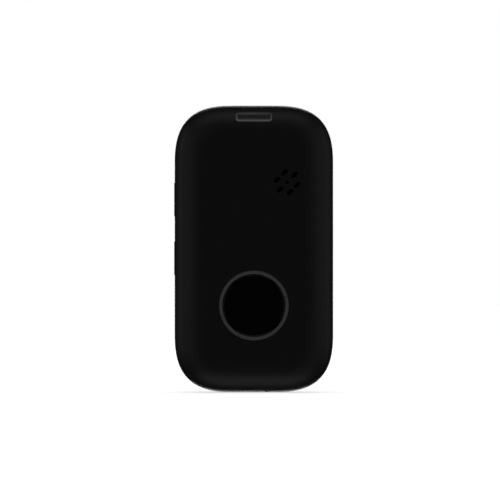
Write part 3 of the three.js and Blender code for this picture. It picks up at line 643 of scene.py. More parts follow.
# %% [markdown]
# ## Geometry Nodes as a builder
# Parts that repeat are made by Geometry Nodes: one shape, a rule for its places, and a few named
# sizes. The tree is run once, its instances are made real, and the result is kept as plain mesh.

# %% Geometry Nodes helper
SOCKET_KINDS = {float: "Float", int: "Int", tuple: "Vector", bpy.types.Object: "Object"}


class Builder(Tree):
    """A Geometry Nodes tree with named inputs."""

    def __init__(self, name, **sizes):
        super().__init__(bpy.data.node_groups.new(name, "GeometryNodeTree"))
        face = self.tree.interface
        face.new_socket("Geometry", in_out="OUTPUT", socket_type="NodeSocketGeometry")
        face.new_socket("Geometry", in_out="INPUT", socket_type="NodeSocketGeometry")
        self.inputs = {}
        for label, size in sizes.items():
            kind = "NodeSocket" + SOCKET_KINDS[type(size)]
            made = face.new_socket(label.replace("_", " "), in_out="INPUT", socket_type=kind)
            self.inputs[made.identifier] = size
        self.group = self.tree.nodes.new("NodeGroupInput")

    def given(self, label):
        return Value(self, self.group.outputs[label.replace("_", " ")])

    def shape_of(self, label):
        return self.make("GeometryNodeObjectInfo", out="Geometry", Object=self.given(label))

    def xyz(self, x=0.0, y=0.0, z=0.0):
        return self.make("ShaderNodeCombineXYZ", X=x, Y=y, Z=z)

    def run(self, name, geometry, finish, points=()):
        """Makes the tree's result a plain mesh. points are the object's own, which it can use."""
        real = self.make("GeometryNodeRealizeInstances", Geometry=geometry)
        dressed = self.make("GeometryNodeSetMaterial", Geometry=real, Material=finish)
        end = self.tree.nodes.new("NodeGroupOutput")
        self.feed(end.inputs[0], dressed)
        mesh = bpy.data.meshes.new(name)
        mesh.from_pydata([tuple(point) for point in points], [], [])
        piece = in_scene(name, mesh)
        step = piece.modifiers.new(name, "NODES")
        step.node_group = self.tree
        for identifier, size in self.inputs.items():
            step[identifier] = size
        plain(piece)
        piece.data.set_sharp_from_angle(angle=SHARP)
        return piece


# %% [markdown]
# ## The grille
# Sound leaves through six pill-shaped slots on a circle and a round hole in its middle. All six
# slots lean the same way. The tree below places one slot cutter at each point of a circle.

# %% Grille cutters
speaker_low, speaker_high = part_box("speaker_mesh")
speaker_centre = ((speaker_low.x + speaker_high.x) / 2, (speaker_low.z + speaker_high.z) / 2)
SLOT_HALF_LENGTH = 0.95 * MM
SLOT_HALF_WIDTH = 0.475 * MM
SLOT_TILT = math.radians(45)
GRILLE_DEPTH = 2.6 * MM
GRILLE_LIP = 0.14 * MM


def grille_cutters():
    slot = hole((0, 0), SLOT_HALF_LENGTH, SLOT_HALF_WIDTH, SLOT_HALF_WIDTH, SLOT_TILT, 6)
    middle = round_hole((0, 0), SLOT_HALF_WIDTH, 6)
    slot_tool = finished("slot_tool", cutter(slot, on_front, GRILLE_DEPTH, GRILLE_LIP), casing)
    middle_tool = finished("middle_tool", cutter(middle, on_front, GRILLE_DEPTH, GRILLE_LIP), casing)
    tree = Builder(
        "Grille pattern", Slot=slot_tool, Middle=middle_tool, Slots=6, Ring_radius=2.55 * MM,
        First_slot=SLOT_TILT, Centre=(speaker_centre[0], 0.0, speaker_centre[1]),
    )
    ring = tree.make(
        "GeometryNodeMeshCircle", Vertices=tree.given("Slots"), Radius=tree.given("Ring_radius")
    )
    upright = tree.make(
        "GeometryNodeTransform", Geometry=ring,
        Rotation=tree.xyz(math.pi / 2, 0 - tree.given("First_slot"), 0.0),
    )
    slots = tree.make(
        "GeometryNodeInstanceOnPoints", Points=upright, Instance=tree.shape_of("Slot")
    )
    pattern = tree.make("GeometryNodeJoinGeometry", Geometry=[slots, tree.shape_of("Middle")])
    placed = tree.make(
        "GeometryNodeTransform", Geometry=pattern, Translation=tree.given("Centre")
    )
    tools = tree.run("grille_tools", placed, casing)
    bpy.data.objects.remove(slot_tool)
    bpy.data.objects.remove(middle_tool)
    return tools


grille_tools = grille_cutters()
print("grille cutters:", len(grille_tools.data.polygons), "faces,", open_edges(grille_tools), "open")

# %% [markdown]
# ## The strap channel
# A strap enters the slot in the front face, passes under a bar and leaves through the top end.
# The channel is a loft of sections: each runs from a point on the swept floor to a point under
# or behind the bar. The first few follow a wide round on the slot's lower lip. A thicker prism of
# the same floor curve makes the wall around the channel.

# %% Strap channel
LIP_ROUND = {"floor": 0.5 * MM, "roof": 0.12 * MM, "side": 0.3 * MM, "nose": 0.3 * MM}
LIP_STEPS = 7
STRAP = {"half": 4.5 * MM, "top": 1.7 * MM, "bottom": 4.03 * MM, "corner": 0.5 * MM}
BAR_BACK = front_y + 5.6 * MM
BAR_ROUND = 0.7 * MM
FLOOR_END = front_y + 7.75 * MM
CHANNEL_WALL = 1.2 * MM
top_z = 2 * half_height


def surface_y(inset):
    """Where the outer surface of the front half lies this far inside its widest line."""
    power = FRONT_ROUND["power"]
    across = 1 - inset / FRONT_ROUND["reach"]
    return front_edge - FRONT_ROUND["depth"] * (1 - across**power) ** (1 / power)


def floor_point(share, grow=0.0):
    """The channel's floor as (y, z), from the slot at share 0 to the top end at share 1."""
    turn = share * math.pi / 2
    start = surface_y(STRAP["bottom"] - LIP_ROUND["floor"]) + LIP_ROUND["floor"]
    y = start + (FLOOR_END - start + grow) * math.sin(turn)
    return y, top_z - (STRAP["bottom"] - LIP_ROUND["floor"] + grow) * math.cos(turn)


def roof_point(share):
    """The underside and then the back of the bar."""
    under = top_z - STRAP["top"] - LIP_ROUND["roof"]
    if share < 0.5:
        start = surface_y(STRAP["top"]) + LIP_ROUND["nose"]
        return start + (BAR_BACK - BAR_ROUND - start) * share * 2, under
    turn = min((share - 0.5) / 0.3, 1) * math.pi / 2
    rise = max(share - 0.8, 0) / 0.2 * (top_z - under - BAR_ROUND)
    y = BAR_BACK - BAR_ROUND * (1 - math.sin(turn))
    return y, under + BAR_ROUND * (1 - math.cos(turn)) + rise


def channel_section(low, high, grow=0.0):
    """A rounded section across the channel between a floor point and a roof point."""
    low, high = Vector(low), Vector(high)
    middle, rise = (low + high) / 2, (high - low)
    half = STRAP["half"] - LIP_ROUND["side"] + grow
    ring = rounded(half, rise.length / 2, STRAP["corner"] + grow, 5)
    points = [(u, middle + rise.normalized() * v) for u, v in ring]
    return [(u, point[0], point[1]) for u, point in points]


def channel_tool():
    steps = 24
    end_z = top_z + 2 * MM
    floor = [floor_point(i / steps) for i in range(steps + 1)]
    roof = [roof_point(i / steps) for i in range(steps + 1)]
    lip = Vector((surface_y(STRAP["bottom"]) + PAST, top_z - STRAP["bottom"]))
    corner = Vector((floor[0][0] - LIP_ROUND["floor"], floor[0][1]))
    nose = Vector((surface_y(STRAP["top"]) + PAST, top_z - STRAP["top"]))
    clear = Vector((5 * MM, 0))
    sections = [channel_section(lip - clear, nose - clear, LIP_ROUND["side"])]
    for step in range(LIP_STEPS):
        share = step / LIP_STEPS
        low = lip.lerp(corner, share).lerp(corner.lerp(Vector(floor[0]), share), share)
        high = nose.lerp(Vector((nose.x, roof[0][1])).lerp(Vector(roof[0]), share), share)
        sections.append(channel_section(low, high, LIP_ROUND["side"] * (1 - share) ** 2))
    sections += [channel_section(low, high) for low, high in zip(floor, roof)]
    sections += [channel_section((floor[-1][0], end_z), (roof[-1][0], end_z))]
    tool = finished("channel_tool", lofted(sections), casing)
    tool.data.materials.append(channel)
    for face in tool.data.polygons:
        face.material_index = 1
    return tool


def channel_wall():
    """The block around the channel, cut to the inside of the casing's wall."""
    side = [floor_point(i / 16, CHANNEL_WALL) for i in range(17)]
    end_z = top_z + 1 * MM
    side += [(side[-1][0], end_z), (front_y, end_z), (front_y, side[0][1])]
    half = STRAP["half"] + CHANNEL_WALL - LIP_ROUND["side"]
    block = finished("channel_wall", lofted([[(x, *p) for p in side] for x in (-half, half)]), casing)
    sunk = WALL / 2
    rows = pillow(FRONT_ROUND, front_edge, sunk) + [(sunk, parting_y)]
    return boolean(block, finished("inside", casing_half(rows), casing), "INTERSECT")


# %% [markdown]
# ## Supports inside the front half
# Posts, screw bosses, the button's collar and the speaker's pocket grow from the inside of the
# wall. They are hidden once the pager is shut, but they are what the parts stand on.

# %% Supports
SUNK = 0.5 * MM
BOSS = {"hole": 0.8 * MM, "radius": 2.2 * MM, "short": 0.6 * MM}
POST = {"hole": 0.65 * MM, "radius": 1.8 * MM}
COLLAR_WALL = 1.1 * MM
POCKET = {"shelf": 1 * MM, "depth": 2.5 * MM, "wall": 0.8 * MM}
front_inside = front_y + WALL
board_low, board_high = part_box("main_board")
case_screws = [f"case_screw_{i}" for i in (1, 2, 3, 4)]
board_screws = [f"board_screw_{i}" for i in (1, 2, 3)]


def middle_of(node):
    low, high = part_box(node)
    return (low + high) / 2


def places_of(nodes):
    return [(middle_of(node).x, middle_of(node).z) for node in nodes]


def hoop(profile, centre, steps=64):
    """A closed ring about the Y axis whose section is a closed loop of (radius, y) points."""
    shape = bmesh.new()
    skinned(shape, [circle(radius, y, centre, steps) for radius, y in profile], closed=True)
    bmesh.ops.recalc_face_normals(shape, faces=shape.faces)
    return shape


def pipe(inner, outer, start, end, centre, steps=64):
    return hoop([(inner, start), (outer, start), (outer, end), (inner, end)], centre, steps)


def front_supports():
    """Everything that stands on the inside of the front wall."""
    start = front_inside - SUNK
    boss_end = parting_y - BOSS["short"]
    post_end = board_low.y - TOUCH
    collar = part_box("membrane_retainer")[1].x + SLIDE
    collar_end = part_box("membrane_retainer")[0].y
    frame_low, frame_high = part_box("speaker_frame")
    pocket = (frame_high.x - frame_low.x) / 2 + SLIDE
    mesh_hole = (speaker_high.x - speaker_low.x) / 2 + SLIDE
    shelf = front_inside + POCKET["shelf"]
    pocket_end = front_inside + POCKET["depth"]
    pocket_outer = pocket + POCKET["wall"]
    stepped = [(mesh_hole, start), (pocket_outer, start), (pocket_outer, pocket_end)]
    stepped += [(pocket, pocket_end), (pocket, shelf), (mesh_hole, shelf)]
    shapes = []
    for nodes, size, end, steps in (
        (case_screws, BOSS, boss_end, 40), (board_screws, POST, post_end, 32),
    ):
        for at in places_of(nodes):
            shapes.append(pipe(size["hole"], size["radius"], start, end, at, steps))
    shapes += [pipe(collar, collar + COLLAR_WALL, start, collar_end, button_at)]
    shapes += [hoop(stepped, speaker_centre)]
    return [finished("support", shape, casing) for shape in shapes]


for addition in [channel_wall(), *front_supports()]:
    boolean(front_shell, addition, "UNION")
print("front half with supports:", len(front_shell.data.polygons), "faces,",
      open_edges(front_shell), "open edges")

# %% [markdown]
# ## Openings in the front half
# The light ring, the keys, the microphone, the grille and the strap each get their own opening.
# A last cut clears the room behind the ring's flange.

# %% Openings
KEY_LIP = 0.14 * MM
KEY_FLANGE = 0.75 * MM
RING_OUTER = 8.67 * MM
MICROPHONE = {"x": 3.2 * MM, "before_board": 1.6 * MM, "radius": 0.5 * MM}
keys = ["volume_up", "volume_down"]


def key_outline(node):
    """The visible key's (centre, half width, half length). Its hidden flange is wider."""
    low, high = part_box(node + "_key")
    centre = ((low.y + high.y) / 2, (low.z + high.z) / 2)
    return centre, (high.y - low.y) / 2 - KEY_FLANGE, (high.z - low.z) / 2 - KEY_FLANGE


def front_openings():
    ring = round_hole(button_at, RING_OUTER + SLIDE / 2, 24)
    shapes = [cutter(ring, on_front, 3 * MM, 0.12 * MM)]
    for node in keys:
        centre, half_w, half_l = key_outline(node)
        path = hole(centre, half_w + SLIDE, half_l + SLIDE, 0.9 * MM)
        shapes.append(cutter(path, on_left, 2.4 * MM, KEY_LIP))
    port_at = (MICROPHONE["x"], board_low.y - MICROPHONE["before_board"])
    port = round_hole(port_at, MICROPHONE["radius"], 8)
    shapes.append(cutter(port, on_bottom, 2.6 * MM, 0.1 * MM))
    return finished("openings", joined(*shapes), casing)


for tool in (front_openings(), grille_tools, channel_tool()):
    boolean(front_shell, tool)
pocket_start = front_inside - PAST
pocket_radius = ring_high.x + SLIDE
pocket_profile = [(0, pocket_start), (pocket_radius, pocket_start)]
pocket_profile += [(pocket_radius, board_low.y), (0, board_low.y)]
flange_pocket = turned(pocket_profile, button_at)
boolean(front_shell, finished("flange_pocket", flange_pocket, casing))
print("front half with openings:", len(front_shell.data.polygons), "faces,",
      open_edges(front_shell), "open edges")

# %% [markdown]
# ## The rear half
# The rear half is the same outline with a tighter pillow. Its rim has a rabbet that receives the
# front half's tongue, with the gasket on the shelf between them. Four counterbores take the
# casing screws, two round seats take the charging contacts, and a shallow recess the label.

# %% Rear half
gasket_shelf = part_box("shell_gasket")[1].y + TOUCH
seam_back = parting_y + SEAM_GAP / 2
inner_rear = [row for row in pillow(REAR_ROUND, rear_edge, WALL) if row[1] > gasket_shelf]
shelf_rise = (gasket_shelf - rear_edge) / (REAR_ROUND["depth"] - WALL)
shelf_power = REAR_ROUND["power"]
shelf_inset = WALL + REAR_ROUND["reach"] * (1 - (1 - shelf_rise**shelf_power) ** (1 / shelf_power))
rear_rows = [row for row in pillow(REAR_ROUND, rear_edge) if row[1] > seam_back + EDGE]
rear_rows += broken_edge(0.0, seam_back, 1, 1)
rear_rows += [(TONGUE_INSET - SLIDE, seam_back), (TONGUE_INSET - SLIDE, gasket_shelf)]
rear_rows += [(shelf_inset, gasket_shelf)] + list(reversed(inner_rear))
rear_shell = finished("rear_shell_fine", casing_half(rear_rows), casing)

CASE_HEAD = {"radius": 1.5 * MM, "height": 0.8 * MM}
screw_head_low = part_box("case_screw_1")[1].y - CASE_HEAD["height"]
HEAD_ROOM = 1.75 * MM
CONTACT = {"seat": 1.6 * MM, "sunk": 0.45 * MM, "hole": 0.85 * MM}
TUBE = {"hole": 0.9 * MM, "radius": 2.4 * MM}
contacts = ["charge_contact_left", "charge_contact_right"]
label_low, label_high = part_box("rating_label")
LABEL_RADIUS = 1.1 * MM


def rear_tools():
    """One closed tool for each opening in the back."""
    shapes = []
    for at in places_of(case_screws):
        shapes.append(cutter(round_hole(at, HEAD_ROOM, 12), on_back, back_y - screw_head_low, EDGE))
    for at in places_of(contacts):
        seat = round_hole(at, CONTACT["seat"], 12)
        shapes.append(cutter(seat, on_back, CONTACT["sunk"], 0.12 * MM))
        shapes.append(cutter(round_hole(at, CONTACT["hole"], 6), on_back, 3 * MM, 0.01 * MM))
    half_u = (label_high.x - label_low.x) / 2 + SLIDE
    half_v = (label_high.z - label_low.z) / 2 + SLIDE
    centre = (middle_of("rating_label").x, middle_of("rating_label").z)
    recess = hole(centre, half_u, half_v, LABEL_RADIUS + SLIDE)
    shapes.append(cutter(recess, on_back, 0.16 * MM, 0.05 * MM))
    return [finished("rear_tool", shape, casing) for shape in shapes]


for at in places_of(case_screws):
    tube = pipe(TUBE["hole"], TUBE["radius"], 2.8 * MM, back_y - WALL / 2, at, 40)
    boolean(rear_shell, finished("tube", tube, casing), "UNION")
for tool in rear_tools():
    boolean(rear_shell, tool)
for at in places_of(case_screws):
    shank = turned([(TUBE["hole"], 2 * MM), (TUBE["hole"], back_y - 1 * MM)], at, 24)
    boolean(rear_shell, finished("shank", shank, casing))
print("rear half:", len(rear_shell.data.polygons), "faces,", open_edges(rear_shell), "open edges")

# %% [markdown]
# ## Fitting a piece to the frame
# Every new piece rides on a body of the frame and stands for the CAD nodes that it replaces,
# which are hidden.

# %% Fit
def fit(piece, body, slot_name, *nodes):
    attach(piece, body)
    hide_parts(*nodes)
    return piece


CASING_SHARP = math.radians(40)
for half, node in ((front_shell, "front_shell"), (rear_shell, "rear_shell")):
    half.data.set_sharp_from_angle(angle=CASING_SHARP)
    fit(flat_faces_first(half), "housing", "casing", node)

# %% [markdown]
# ## The light ring and the call button
# The ring is one moulding with a hidden flange, so its section is drawn once and swept round.
# Its visible face is very slightly crowned between two small rounds. The button is a cap turned
# from one profile: a dished face that sinks as the square of the radius, a rounded rim, a skirt
# that runs in the ring and a flange that keeps it from falling out.

# %% Ring and button
RING_INNER = 7.85 * MM
ring_top = ring_low.y
ring_under = front_inside + TOUCH
button_low, button_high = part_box("call_button")


def arc_rows(centre, radius, start, end, steps=5):
    """(r, y) points of an arc. Its angles are in degrees and run from +r towards +y."""
    turns = [math.radians(start + (end - start) * i / steps) for i in range(steps + 1)]
    return [(centre[0] + radius * math.cos(t), centre[1] + radius * math.sin(t)) for t in turns]


def light_ring():
    soft_edge = 0.12 * MM
    inner = arc_rows((RING_INNER + soft_edge, ring_top + soft_edge), soft_edge, 180, 270)
    outer = arc_rows((RING_OUTER - soft_edge, ring_top + soft_edge), soft_edge, 270, 360)
    profile = inner + outer
    profile += [(RING_OUTER, ring_under), (ring_high.x, ring_under), (ring_high.x, ring_high.y)]
    profile += [(RING_INNER, ring_high.y)]
    return finished("light_ring", hoop(profile, button_at, 144), diffuser)


def call_button():
    radius = RING_INNER - SLIDE
    edge = 0.35 * MM
    dish = 0.25 * MM
    flange_front = ring_high.y + TOUCH
    flange_back = flange_front + 0.5 * MM
    flat = radius - edge
    web = button_low.y + 1.25 * MM
    skirt, stud = radius - 1 * MM, 1.6 * MM
    face = [(flat * i / 14, button_low.y + dish * (1 - (i / 14) ** 2)) for i in range(14)]
    profile = face + arc_rows((flat, button_low.y + edge), edge, 270, 360)
    profile += [(radius, flange_front), (button_high.x, flange_front)]
    profile += [(button_high.x, flange_back), (skirt, flange_back)]
    profile += [(skirt, web), (stud, web), (stud, button_high.y), (0, button_high.y)]
    return finished("call_button_cap", turned(profile, button_at, 128), button_black)


ring_piece = fit(light_ring(), "housing", "light_ring", "ring_lens")
button_piece = fit(call_button(), "call_button_body", "button_gloss", "call_button")
print("ring and button:", open_edges(ring_piece), open_edges(button_piece), "open edges")

# %% [markdown]
# ## The silicone membrane
# A thin sheet under the button keeps water out. The retainer holds its rim, so the rim rides on
# the housing. The sheet itself is turned at rest and left where it is made.

# %% Membrane
def membrane_sheet(low, high, skirt_end):
    """The sheet and the nub that presses the switch, turned from one profile."""
    sheet, flat, nub = 0.35 * MM, 2.3 * MM, 1.3 * MM
    outer_y = low.y + 0.05 * MM
    middle_y = low.y + 0.63 * MM
    shares = [i / 10 for i in range(11)]
    slope = [(flat + (skirt_end - flat) * s, middle_y + (outer_y - middle_y) * s) for s in shares]
    profile = [(0, middle_y), *slope]
    profile += [(radius, y + sheet) for radius, y in reversed(slope)]
    profile += [(nub, middle_y + sheet), (nub, high.y), (0, high.y)]
    return finished("membrane_sheet", turned(profile, button_at), silicone)


def button_membrane():
    low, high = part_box("button_membrane")
    skirt_end = high.x - button_at[0] - 1.3 * MM
    rim = pipe(skirt_end, high.x - button_at[0], low.y, low.y + 0.6 * MM, button_at, 96)
    fit(finished("membrane_rim", rim, silicone), "housing", "silicone", "button_membrane")
    sheet = membrane_sheet(low, high, skirt_end)
    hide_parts("button_membrane")
    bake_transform(sheet)
    return sheet


print("membrane sheet:", open_edges(button_membrane()), "open edges")

# %% [markdown]
# ## The volume keys
# Each key is a rounded bar that stands a little proud of the side. Its face is crowned, its rim
# is rounded, and behind the wall it widens into a flange and ends in a pusher for the switch.

# %% Volume keys
def volume_key(node):
    low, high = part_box(node + "_key")
    centre, half_w, half_l = key_outline(node)
    seat = -half_width + WALL + SLIDE
    flange_back = seat + 0.6 * MM
    edge = 0.22 * MM
    rim = arc_rows((edge, low.x + 0.02 * MM + edge), edge, 270, 180)
    rows = [(-0.5 * MM, low.x), (-0.36 * MM, low.x + 0.006 * MM)]
    rows += [(-inwards, x) for inwards, x in rim]
    rows += [(0.0, seat), (KEY_FLANGE, seat), (KEY_FLANGE, flange_back)]
    rings = [
        [(x, y, z) for y, z in hole(centre, half_w, half_l, 0.8 * MM)(grow)] for grow, x in rows
    ]
    pusher = hole(centre, 0.8 * MM, 1.4 * MM, 0.2 * MM)(0.0)
    rings += [[(x, y, z) for y, z in pusher] for x in (flange_back, high.x)]
    return finished(node + "_cap", lofted(rings), key_plastic)


for node in keys:
    key_piece = fit(volume_key(node), node + "_body", "key", node + "_key")
    print(key_piece.name, open_edges(key_piece), "open edges")

# %% [markdown]
# ## Screws by Geometry Nodes
# One screw is turned from its profile and its cross recess is cut once. The tree then sets a copy
# at each place that the frame gives, turned by a random angle, because no two screws stop alike.

# %% Screws
THREAD_PITCH = 0.4 * MM


def cross_screw(head, height, shank, length):
    """A pan head on a threaded shank, with its seat at y 0 and its head towards +Y."""
    turns = [i / 6 * math.pi / 2 for i in range(7)]
    crown = [(head * math.sin(t), height * (0.45 + 0.55 * math.cos(t))) for t in turns]
    root = shank * 0.82
    thread = []
    for i in range(int(length / THREAD_PITCH)):
        for radius, share in ((root, 0.1), (shank, 0.5), (root, 0.9)):
            thread.append((radius, -(i + share) * THREAD_PITCH))
    profile = crown + [(head, 0.0)] + thread + [(shank * 0.5, -length), (0, -length)]
    body = finished("screw", turned(profile, (0, 0), 32), screw_steel)
    arm, half_slot = head * 0.6, head * 0.13
    cross = rounded(arm, half_slot, half_slot * 0.5, 2)
    for flip in (False, True):
        rings = [
            [((v, y, u) if flip else (u, y, v)) for u, v in cross]
            for y in (height * 0.35, height * 2)
        ]
        boolean(body, finished("cross", lofted(rings), screw_steel))
    return body


def set_screws(name, nodes, head, height, shank, seed):
    boxes = [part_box(node) for node in nodes]
    seat = boxes[0][1].y - height
    length = seat - boxes[0][0].y
    points = [(x, seat, z) for x, z in places_of(nodes)]
    screw = cross_screw(head, height, shank, length)
    tree = Builder(name + " pattern", Screw=screw, Most_turn=math.pi / 2)
    stop = tree.make(
        "FunctionNodeRandomValue", {"data_type": "FLOAT"}, Max=tree.given("Most_turn"), Seed=seed
    )
    placed = tree.make(
        "GeometryNodeInstanceOnPoints", Points=tree.given("Geometry"),
        Instance=tree.shape_of("Screw"), Rotation=tree.xyz(0.0, stop, 0.0),
    )
    piece = tree.run(name, placed, screw_steel, points)
    bpy.data.objects.remove(screw)
    return fit(piece, "housing", "screw_steel", *nodes)


case_set = set_screws(
    "case_screws", case_screws, CASE_HEAD["radius"], CASE_HEAD["height"], 0.75 * MM, 4
)
set_screws("board_screws", board_screws, 1.3 * MM, 0.5 * MM, 0.6 * MM, 7)
print("screws:", len(case_set.data.polygons), "faces,", open_edges(case_set), "open edges")

# %% [markdown]
# ## The speaker cloth by Geometry Nodes
# Acoustic cloth is a plain weave: every strand passes over one crossing strand and under the
# next. One product of two cosines gives the height of both sets of strands, with opposite sign,
# so they never meet. Strands outside the disc are deleted before they become tubes.

# %% Speaker cloth
CLOTH_PITCH = 0.26 * MM
STRAND_RADIUS = 0.045 * MM


def speaker_cloth():
    radius = (speaker_high.x - speaker_low.x) / 2
    count = 2 * int(radius / CLOTH_PITCH) + 1
    middle = Vector((speaker_centre[0], (speaker_low.y + speaker_high.y) / 2, speaker_centre[1]))
    tree = Builder(
        "Woven cloth", Strands=count, Samples=2 * count - 1, Pitch=CLOTH_PITCH,
        Disc_radius=radius, Strand_radius=STRAND_RADIUS, Centre=tuple(middle),
    )
    pitch = tree.given("Pitch")
    edge = (tree.given("Strands") - 1) * pitch * -0.5
    place = tree.make("GeometryNodeInputPosition")
    parts = tree.make("ShaderNodeSeparateXYZ", Vector=place).socket.node.outputs
    x, z = Value(tree, parts["X"]), Value(tree, parts["Z"])
    per_pitch = math.pi / CLOTH_PITCH
    wave = (x * per_pitch).math("COSINE") * (z * per_pitch).math("COSINE")
    outside = (x * x + z * z).math("GREATER_THAN", tree.given("Disc_radius") ** 2)

    def line(count, way, step):
        """Evenly spaced points along one axis, from one edge of the disc."""
        return tree.make(
            "GeometryNodeMeshLine", Count=tree.given(count),
            Start_Location=tree.xyz(*[edge * axis for axis in way]),
            Offset=tree.xyz(*[step * axis for axis in way]),
        )

    sets = []
    for height, along, across in ((1, (1, 0, 0), (0, 0, 1)), (-1, (0, 0, 1), (1, 0, 0))):
        strand = line("Samples", along, pitch * 0.5)
        rows = line("Strands", across, pitch)
        copies = tree.make("GeometryNodeInstanceOnPoints", Points=rows, Instance=strand)
        real = tree.make("GeometryNodeRealizeInstances", Geometry=copies)
        lift = tree.xyz(0.0, wave * tree.given("Strand_radius") * float(height), 0.0)
        waved = tree.make("GeometryNodeSetPosition", Geometry=real, Offset=lift)
        sets.append(waved)
    weave = tree.make("GeometryNodeJoinGeometry", Geometry=sets)
    disc = tree.make("GeometryNodeDeleteGeometry", Geometry=weave, Selection=outside)
    curves = tree.make("GeometryNodeMeshToCurve", Mesh=disc)
    section = tree.make(
        "GeometryNodeCurvePrimitiveCircle", Resolution=5, Radius=tree.given("Strand_radius")
    )
    tubes = tree.make(
        "GeometryNodeCurveToMesh", Curve=curves, Profile_Curve=section, Fill_Caps=True
    )
    placed = tree.make("GeometryNodeTransform", Geometry=tubes, Translation=tree.given("Centre"))
    return tree.run("speaker_cloth", placed, yarn)


cloth = fit(speaker_cloth(), "housing", "mesh", "speaker_mesh")
print("speaker cloth:", len(cloth.data.polygons), "faces")

# %% [markdown]
# ## Charging contacts and the label
# The contacts are gold-plated rivets with a low dome and a small dimple from turning. The label
# is a thin blank film with rounded corners and one fine border line, lying in its recess.

# %% Contacts and label
def contact_rivet(node):
    low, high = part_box(node)
    centre = (middle_of(node).x, middle_of(node).z)
    head = (high.x - low.x) / 2
    under = back_y - CONTACT["sunk"] + TOUCH
    dome = [(head * 0.93 * i / 8, high.y - 0.06 * MM * (i / 8) ** 2) for i in range(1, 9)]
    profile = [(0, high.y - 0.03 * MM), (0.1 * MM, high.y - 0.02 * MM)] + dome
    profile += [(head, high.y - 0.14 * MM), (head, under), (0.8 * MM, under), (0.8 * MM, low.y)]
    profile += [(0, low.y)]
    return finished(node + "_rivet", turned(profile, centre, 64), gold)


def label_film():
    """Dark satin film with one fine lighter line printed just inside its edge."""
    finish = Finish("label_film", IOR=1.48, Coat_Weight=0.15)
    x, _, z = finish.split()
    middle = middle_of("rating_label")
    size = (label_high - label_low) / 2
    line_inset, line_width = 0.9 * MM, 0.12 * MM
    from_x = (x - middle.x).math("ABSOLUTE") - (size.x - line_inset)
    from_z = (z - middle.z).math("ABSOLUTE") - (size.z - line_inset)
    border = from_x.math("MAXIMUM", from_z).math("ABSOLUTE").math("LESS_THAN", line_width / 2)
    cloud = finish.noise(3 * MM, detail=3)
    dark = finish.blend(grey(0.034, 0.04), grey(0.042, 0.04), cloud)
    return finish.paint(
        Base_Color=finish.blend(dark, grey(0.3), border),
        Roughness=cloud * 0.1 + 0.36,
        Normal=finish.bump(finish.noise(0.3 * MM), 0.003 * MM),
    )


def label_piece():
    middle = middle_of("rating_label")
    size = (label_high - label_low) / 2
    outline_path = hole((middle.x, middle.z), size.x, size.z, LABEL_RADIUS)
    soft_edge = 0.03 * MM
    rows = [(0.0, label_low.y), (0.0, label_high.y - soft_edge), (-soft_edge, label_high.y)]
    rings = [[(u, y, v) for u, v in outline_path(grow)] for grow, y in rows]
    return finished("blank_label", lofted(rings), label_film())


for node in contacts:
    fit(contact_rivet(node), "housing", "gold", node)
fit(label_piece(), "housing", "label", "rating_label")

# %% [markdown]
# ## Finishes for the parts that keep their CAD shape
# Inside the casing the CAD shapes are right as they are. Each takes the finish of its slot.

# %% Inner parts
slot_finishes = {
    "rubber": rubber, "silicone": silicone, "nylon": nylon, "clear_white": white_plastic,
    "circuit_board": board_mask, "tinned_steel": tinned_steel, "screw_steel": screw_steel,
    "gold": gold, "copper": copper, "ceramic": ceramic, "chip": chip_epoxy, "foam": foam,
    "cone_film": film, "pouch_foil": pouch, "polyimide": polyimide, "red_wire": red_wire,
    "black_wire": black_wire,
}
dressed = 0
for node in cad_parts.values():
    if not node.hide_render:
        for place in node.material_slots:
            place.material = slot_finishes[place.material.name.split(".")[0]]
        dressed += 1
print(dressed, "inner parts dressed")

# %% [markdown]
# ## Studio
# The pager stands on a pale floor in white surroundings. Both look white to the camera and
# hardly light the pager, whose black faces are shaped by soft boxes: one above, one at each side,
# one below, two narrow ones beside it for the rims, and a tall one behind for the back and the
# outline. The front face mirrors almost nothing, while the rounded edges pick up the boxes.
# The floor carries a painted contact shadow round the pager's foot.

# %% Floor, surroundings and light
def glowing_floor():
    """White to the camera, with a painted contact shadow: darker where the pager stands close above
    it.
    """
    finish = Finish("pale_floor", Base_Color=solid(grey(0.0)), Roughness=1.0)
    # painted contact shadow: ambient occlusion dims the floor's glow close to the pager
    near = finish.make("ShaderNodeAmbientOcclusion", {"samples": 8}, out="AO", Distance=0.03)
    return finish.paint(
        Emission_Color=finish.blend(grey(0.5), grey(1.03), near), Emission_Strength=1.0
    )


def stage_sheet(name, corners, finish):
    mesh = bpy.data.meshes.new(name)
    mesh.from_pydata(corners, [], [(0, 1, 2, 3)])
    mesh.materials.append(finish)
    sheet = in_scene(name, mesh)
    sheet.visible_diffuse = False
    sheet.visible_glossy = False
    sheet.visible_shadow = False
    return sheet


SPREAD = 3.0
floor_corners = [(x * SPREAD, y * SPREAD, 0) for x, y in ((-1, -1), (1, -1), (1, 1), (-1, 1))]
stage_sheet("floor", floor_corners, glowing_floor())


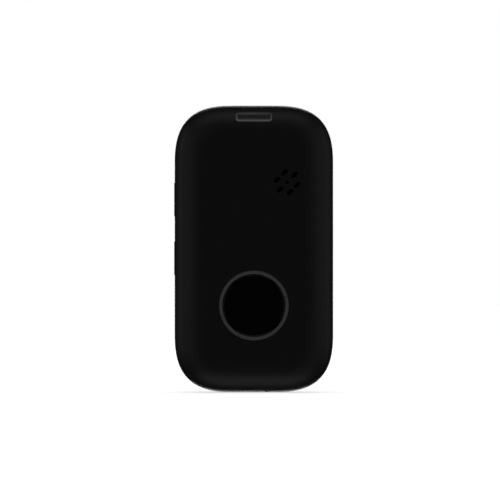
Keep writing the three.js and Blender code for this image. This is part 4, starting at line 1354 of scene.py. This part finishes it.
def soft_box(name, place, aim, width, height, power):
    lamp = bpy.data.lights.new(name, "AREA")
    lamp.shape = "RECTANGLE"
    lamp.size = width
    lamp.size_y = height
    lamp.energy = power
    box = in_scene(name, lamp)
    box.location = place
    box.rotation_mode = "QUATERNION"
    box.rotation_quaternion = (Vector(aim) - Vector(place)).to_track_quat("-Z", "Y")
    box.visible_camera = False
    return box


# name: place, width and height in metres, power in watts
SOFT_BOXES = {
    "top_box": ((0, -0.2, 0.65), (0.8, 0.35), 0.44),
    "left_box": ((-0.55, -0.42, 0.1), (0.5, 0.7), 0.28),
    "right_box": ((0.55, -0.42, 0.1), (0.5, 0.7), 0.28),
    "low_box": ((0, -0.25, -0.55), (0.7, 0.4), 0.5),
    "left_rim_box": ((-0.7, 0.1, 0.15), (0.3, 0.7), 0.25),
    "right_rim_box": ((0.7, 0.1, 0.15), (0.3, 0.7), 0.25),
    "back_box": ((0, 0.9, 0.015), (0.4, 1.1), 5.5),
}
for box_name, (box_place, box_size, power) in SOFT_BOXES.items():
    soft_box(box_name, box_place, (0, 0, half_height), *box_size, power)

FILL = 0.015  # how strongly the surroundings light the pager, against 1 as the camera sees them
world = bpy.data.worlds.new("studio")
bpy.context.scene.world = world
world.use_nodes = True
sky = Tree(world.node_tree)
surroundings = world.node_tree.nodes["Background"]
seen = sky.make("ShaderNodeLightPath", out="Is Camera Ray")
sky.feed(surroundings.inputs["Strength"], seen * (1 - FILL) + FILL)
surroundings.inputs["Color"].default_value = (1, 1, 1, 1)
bpy.context.scene.view_settings.view_transform = "Standard"

# %% [markdown]
# ## Camera
# A long lens straight in front, level with the middle of the pager, as in a catalogue.

# %% Camera
DISTANCE = 2.0
FRAME_WIDTH = 0.125
AIM = Vector((-0.975 * MM, 0, half_height - 0.27 * MM))
lens = bpy.data.cameras.new("catalogue_lens")
lens.sensor_width = 36
lens.lens = lens.sensor_width * DISTANCE / FRAME_WIDTH
camera = in_scene("catalogue_camera", lens)
camera.location = AIM - Vector((0, DISTANCE, 0))
camera.rotation_euler = (math.pi / 2, 0, 0)
bpy.context.scene.camera = camera
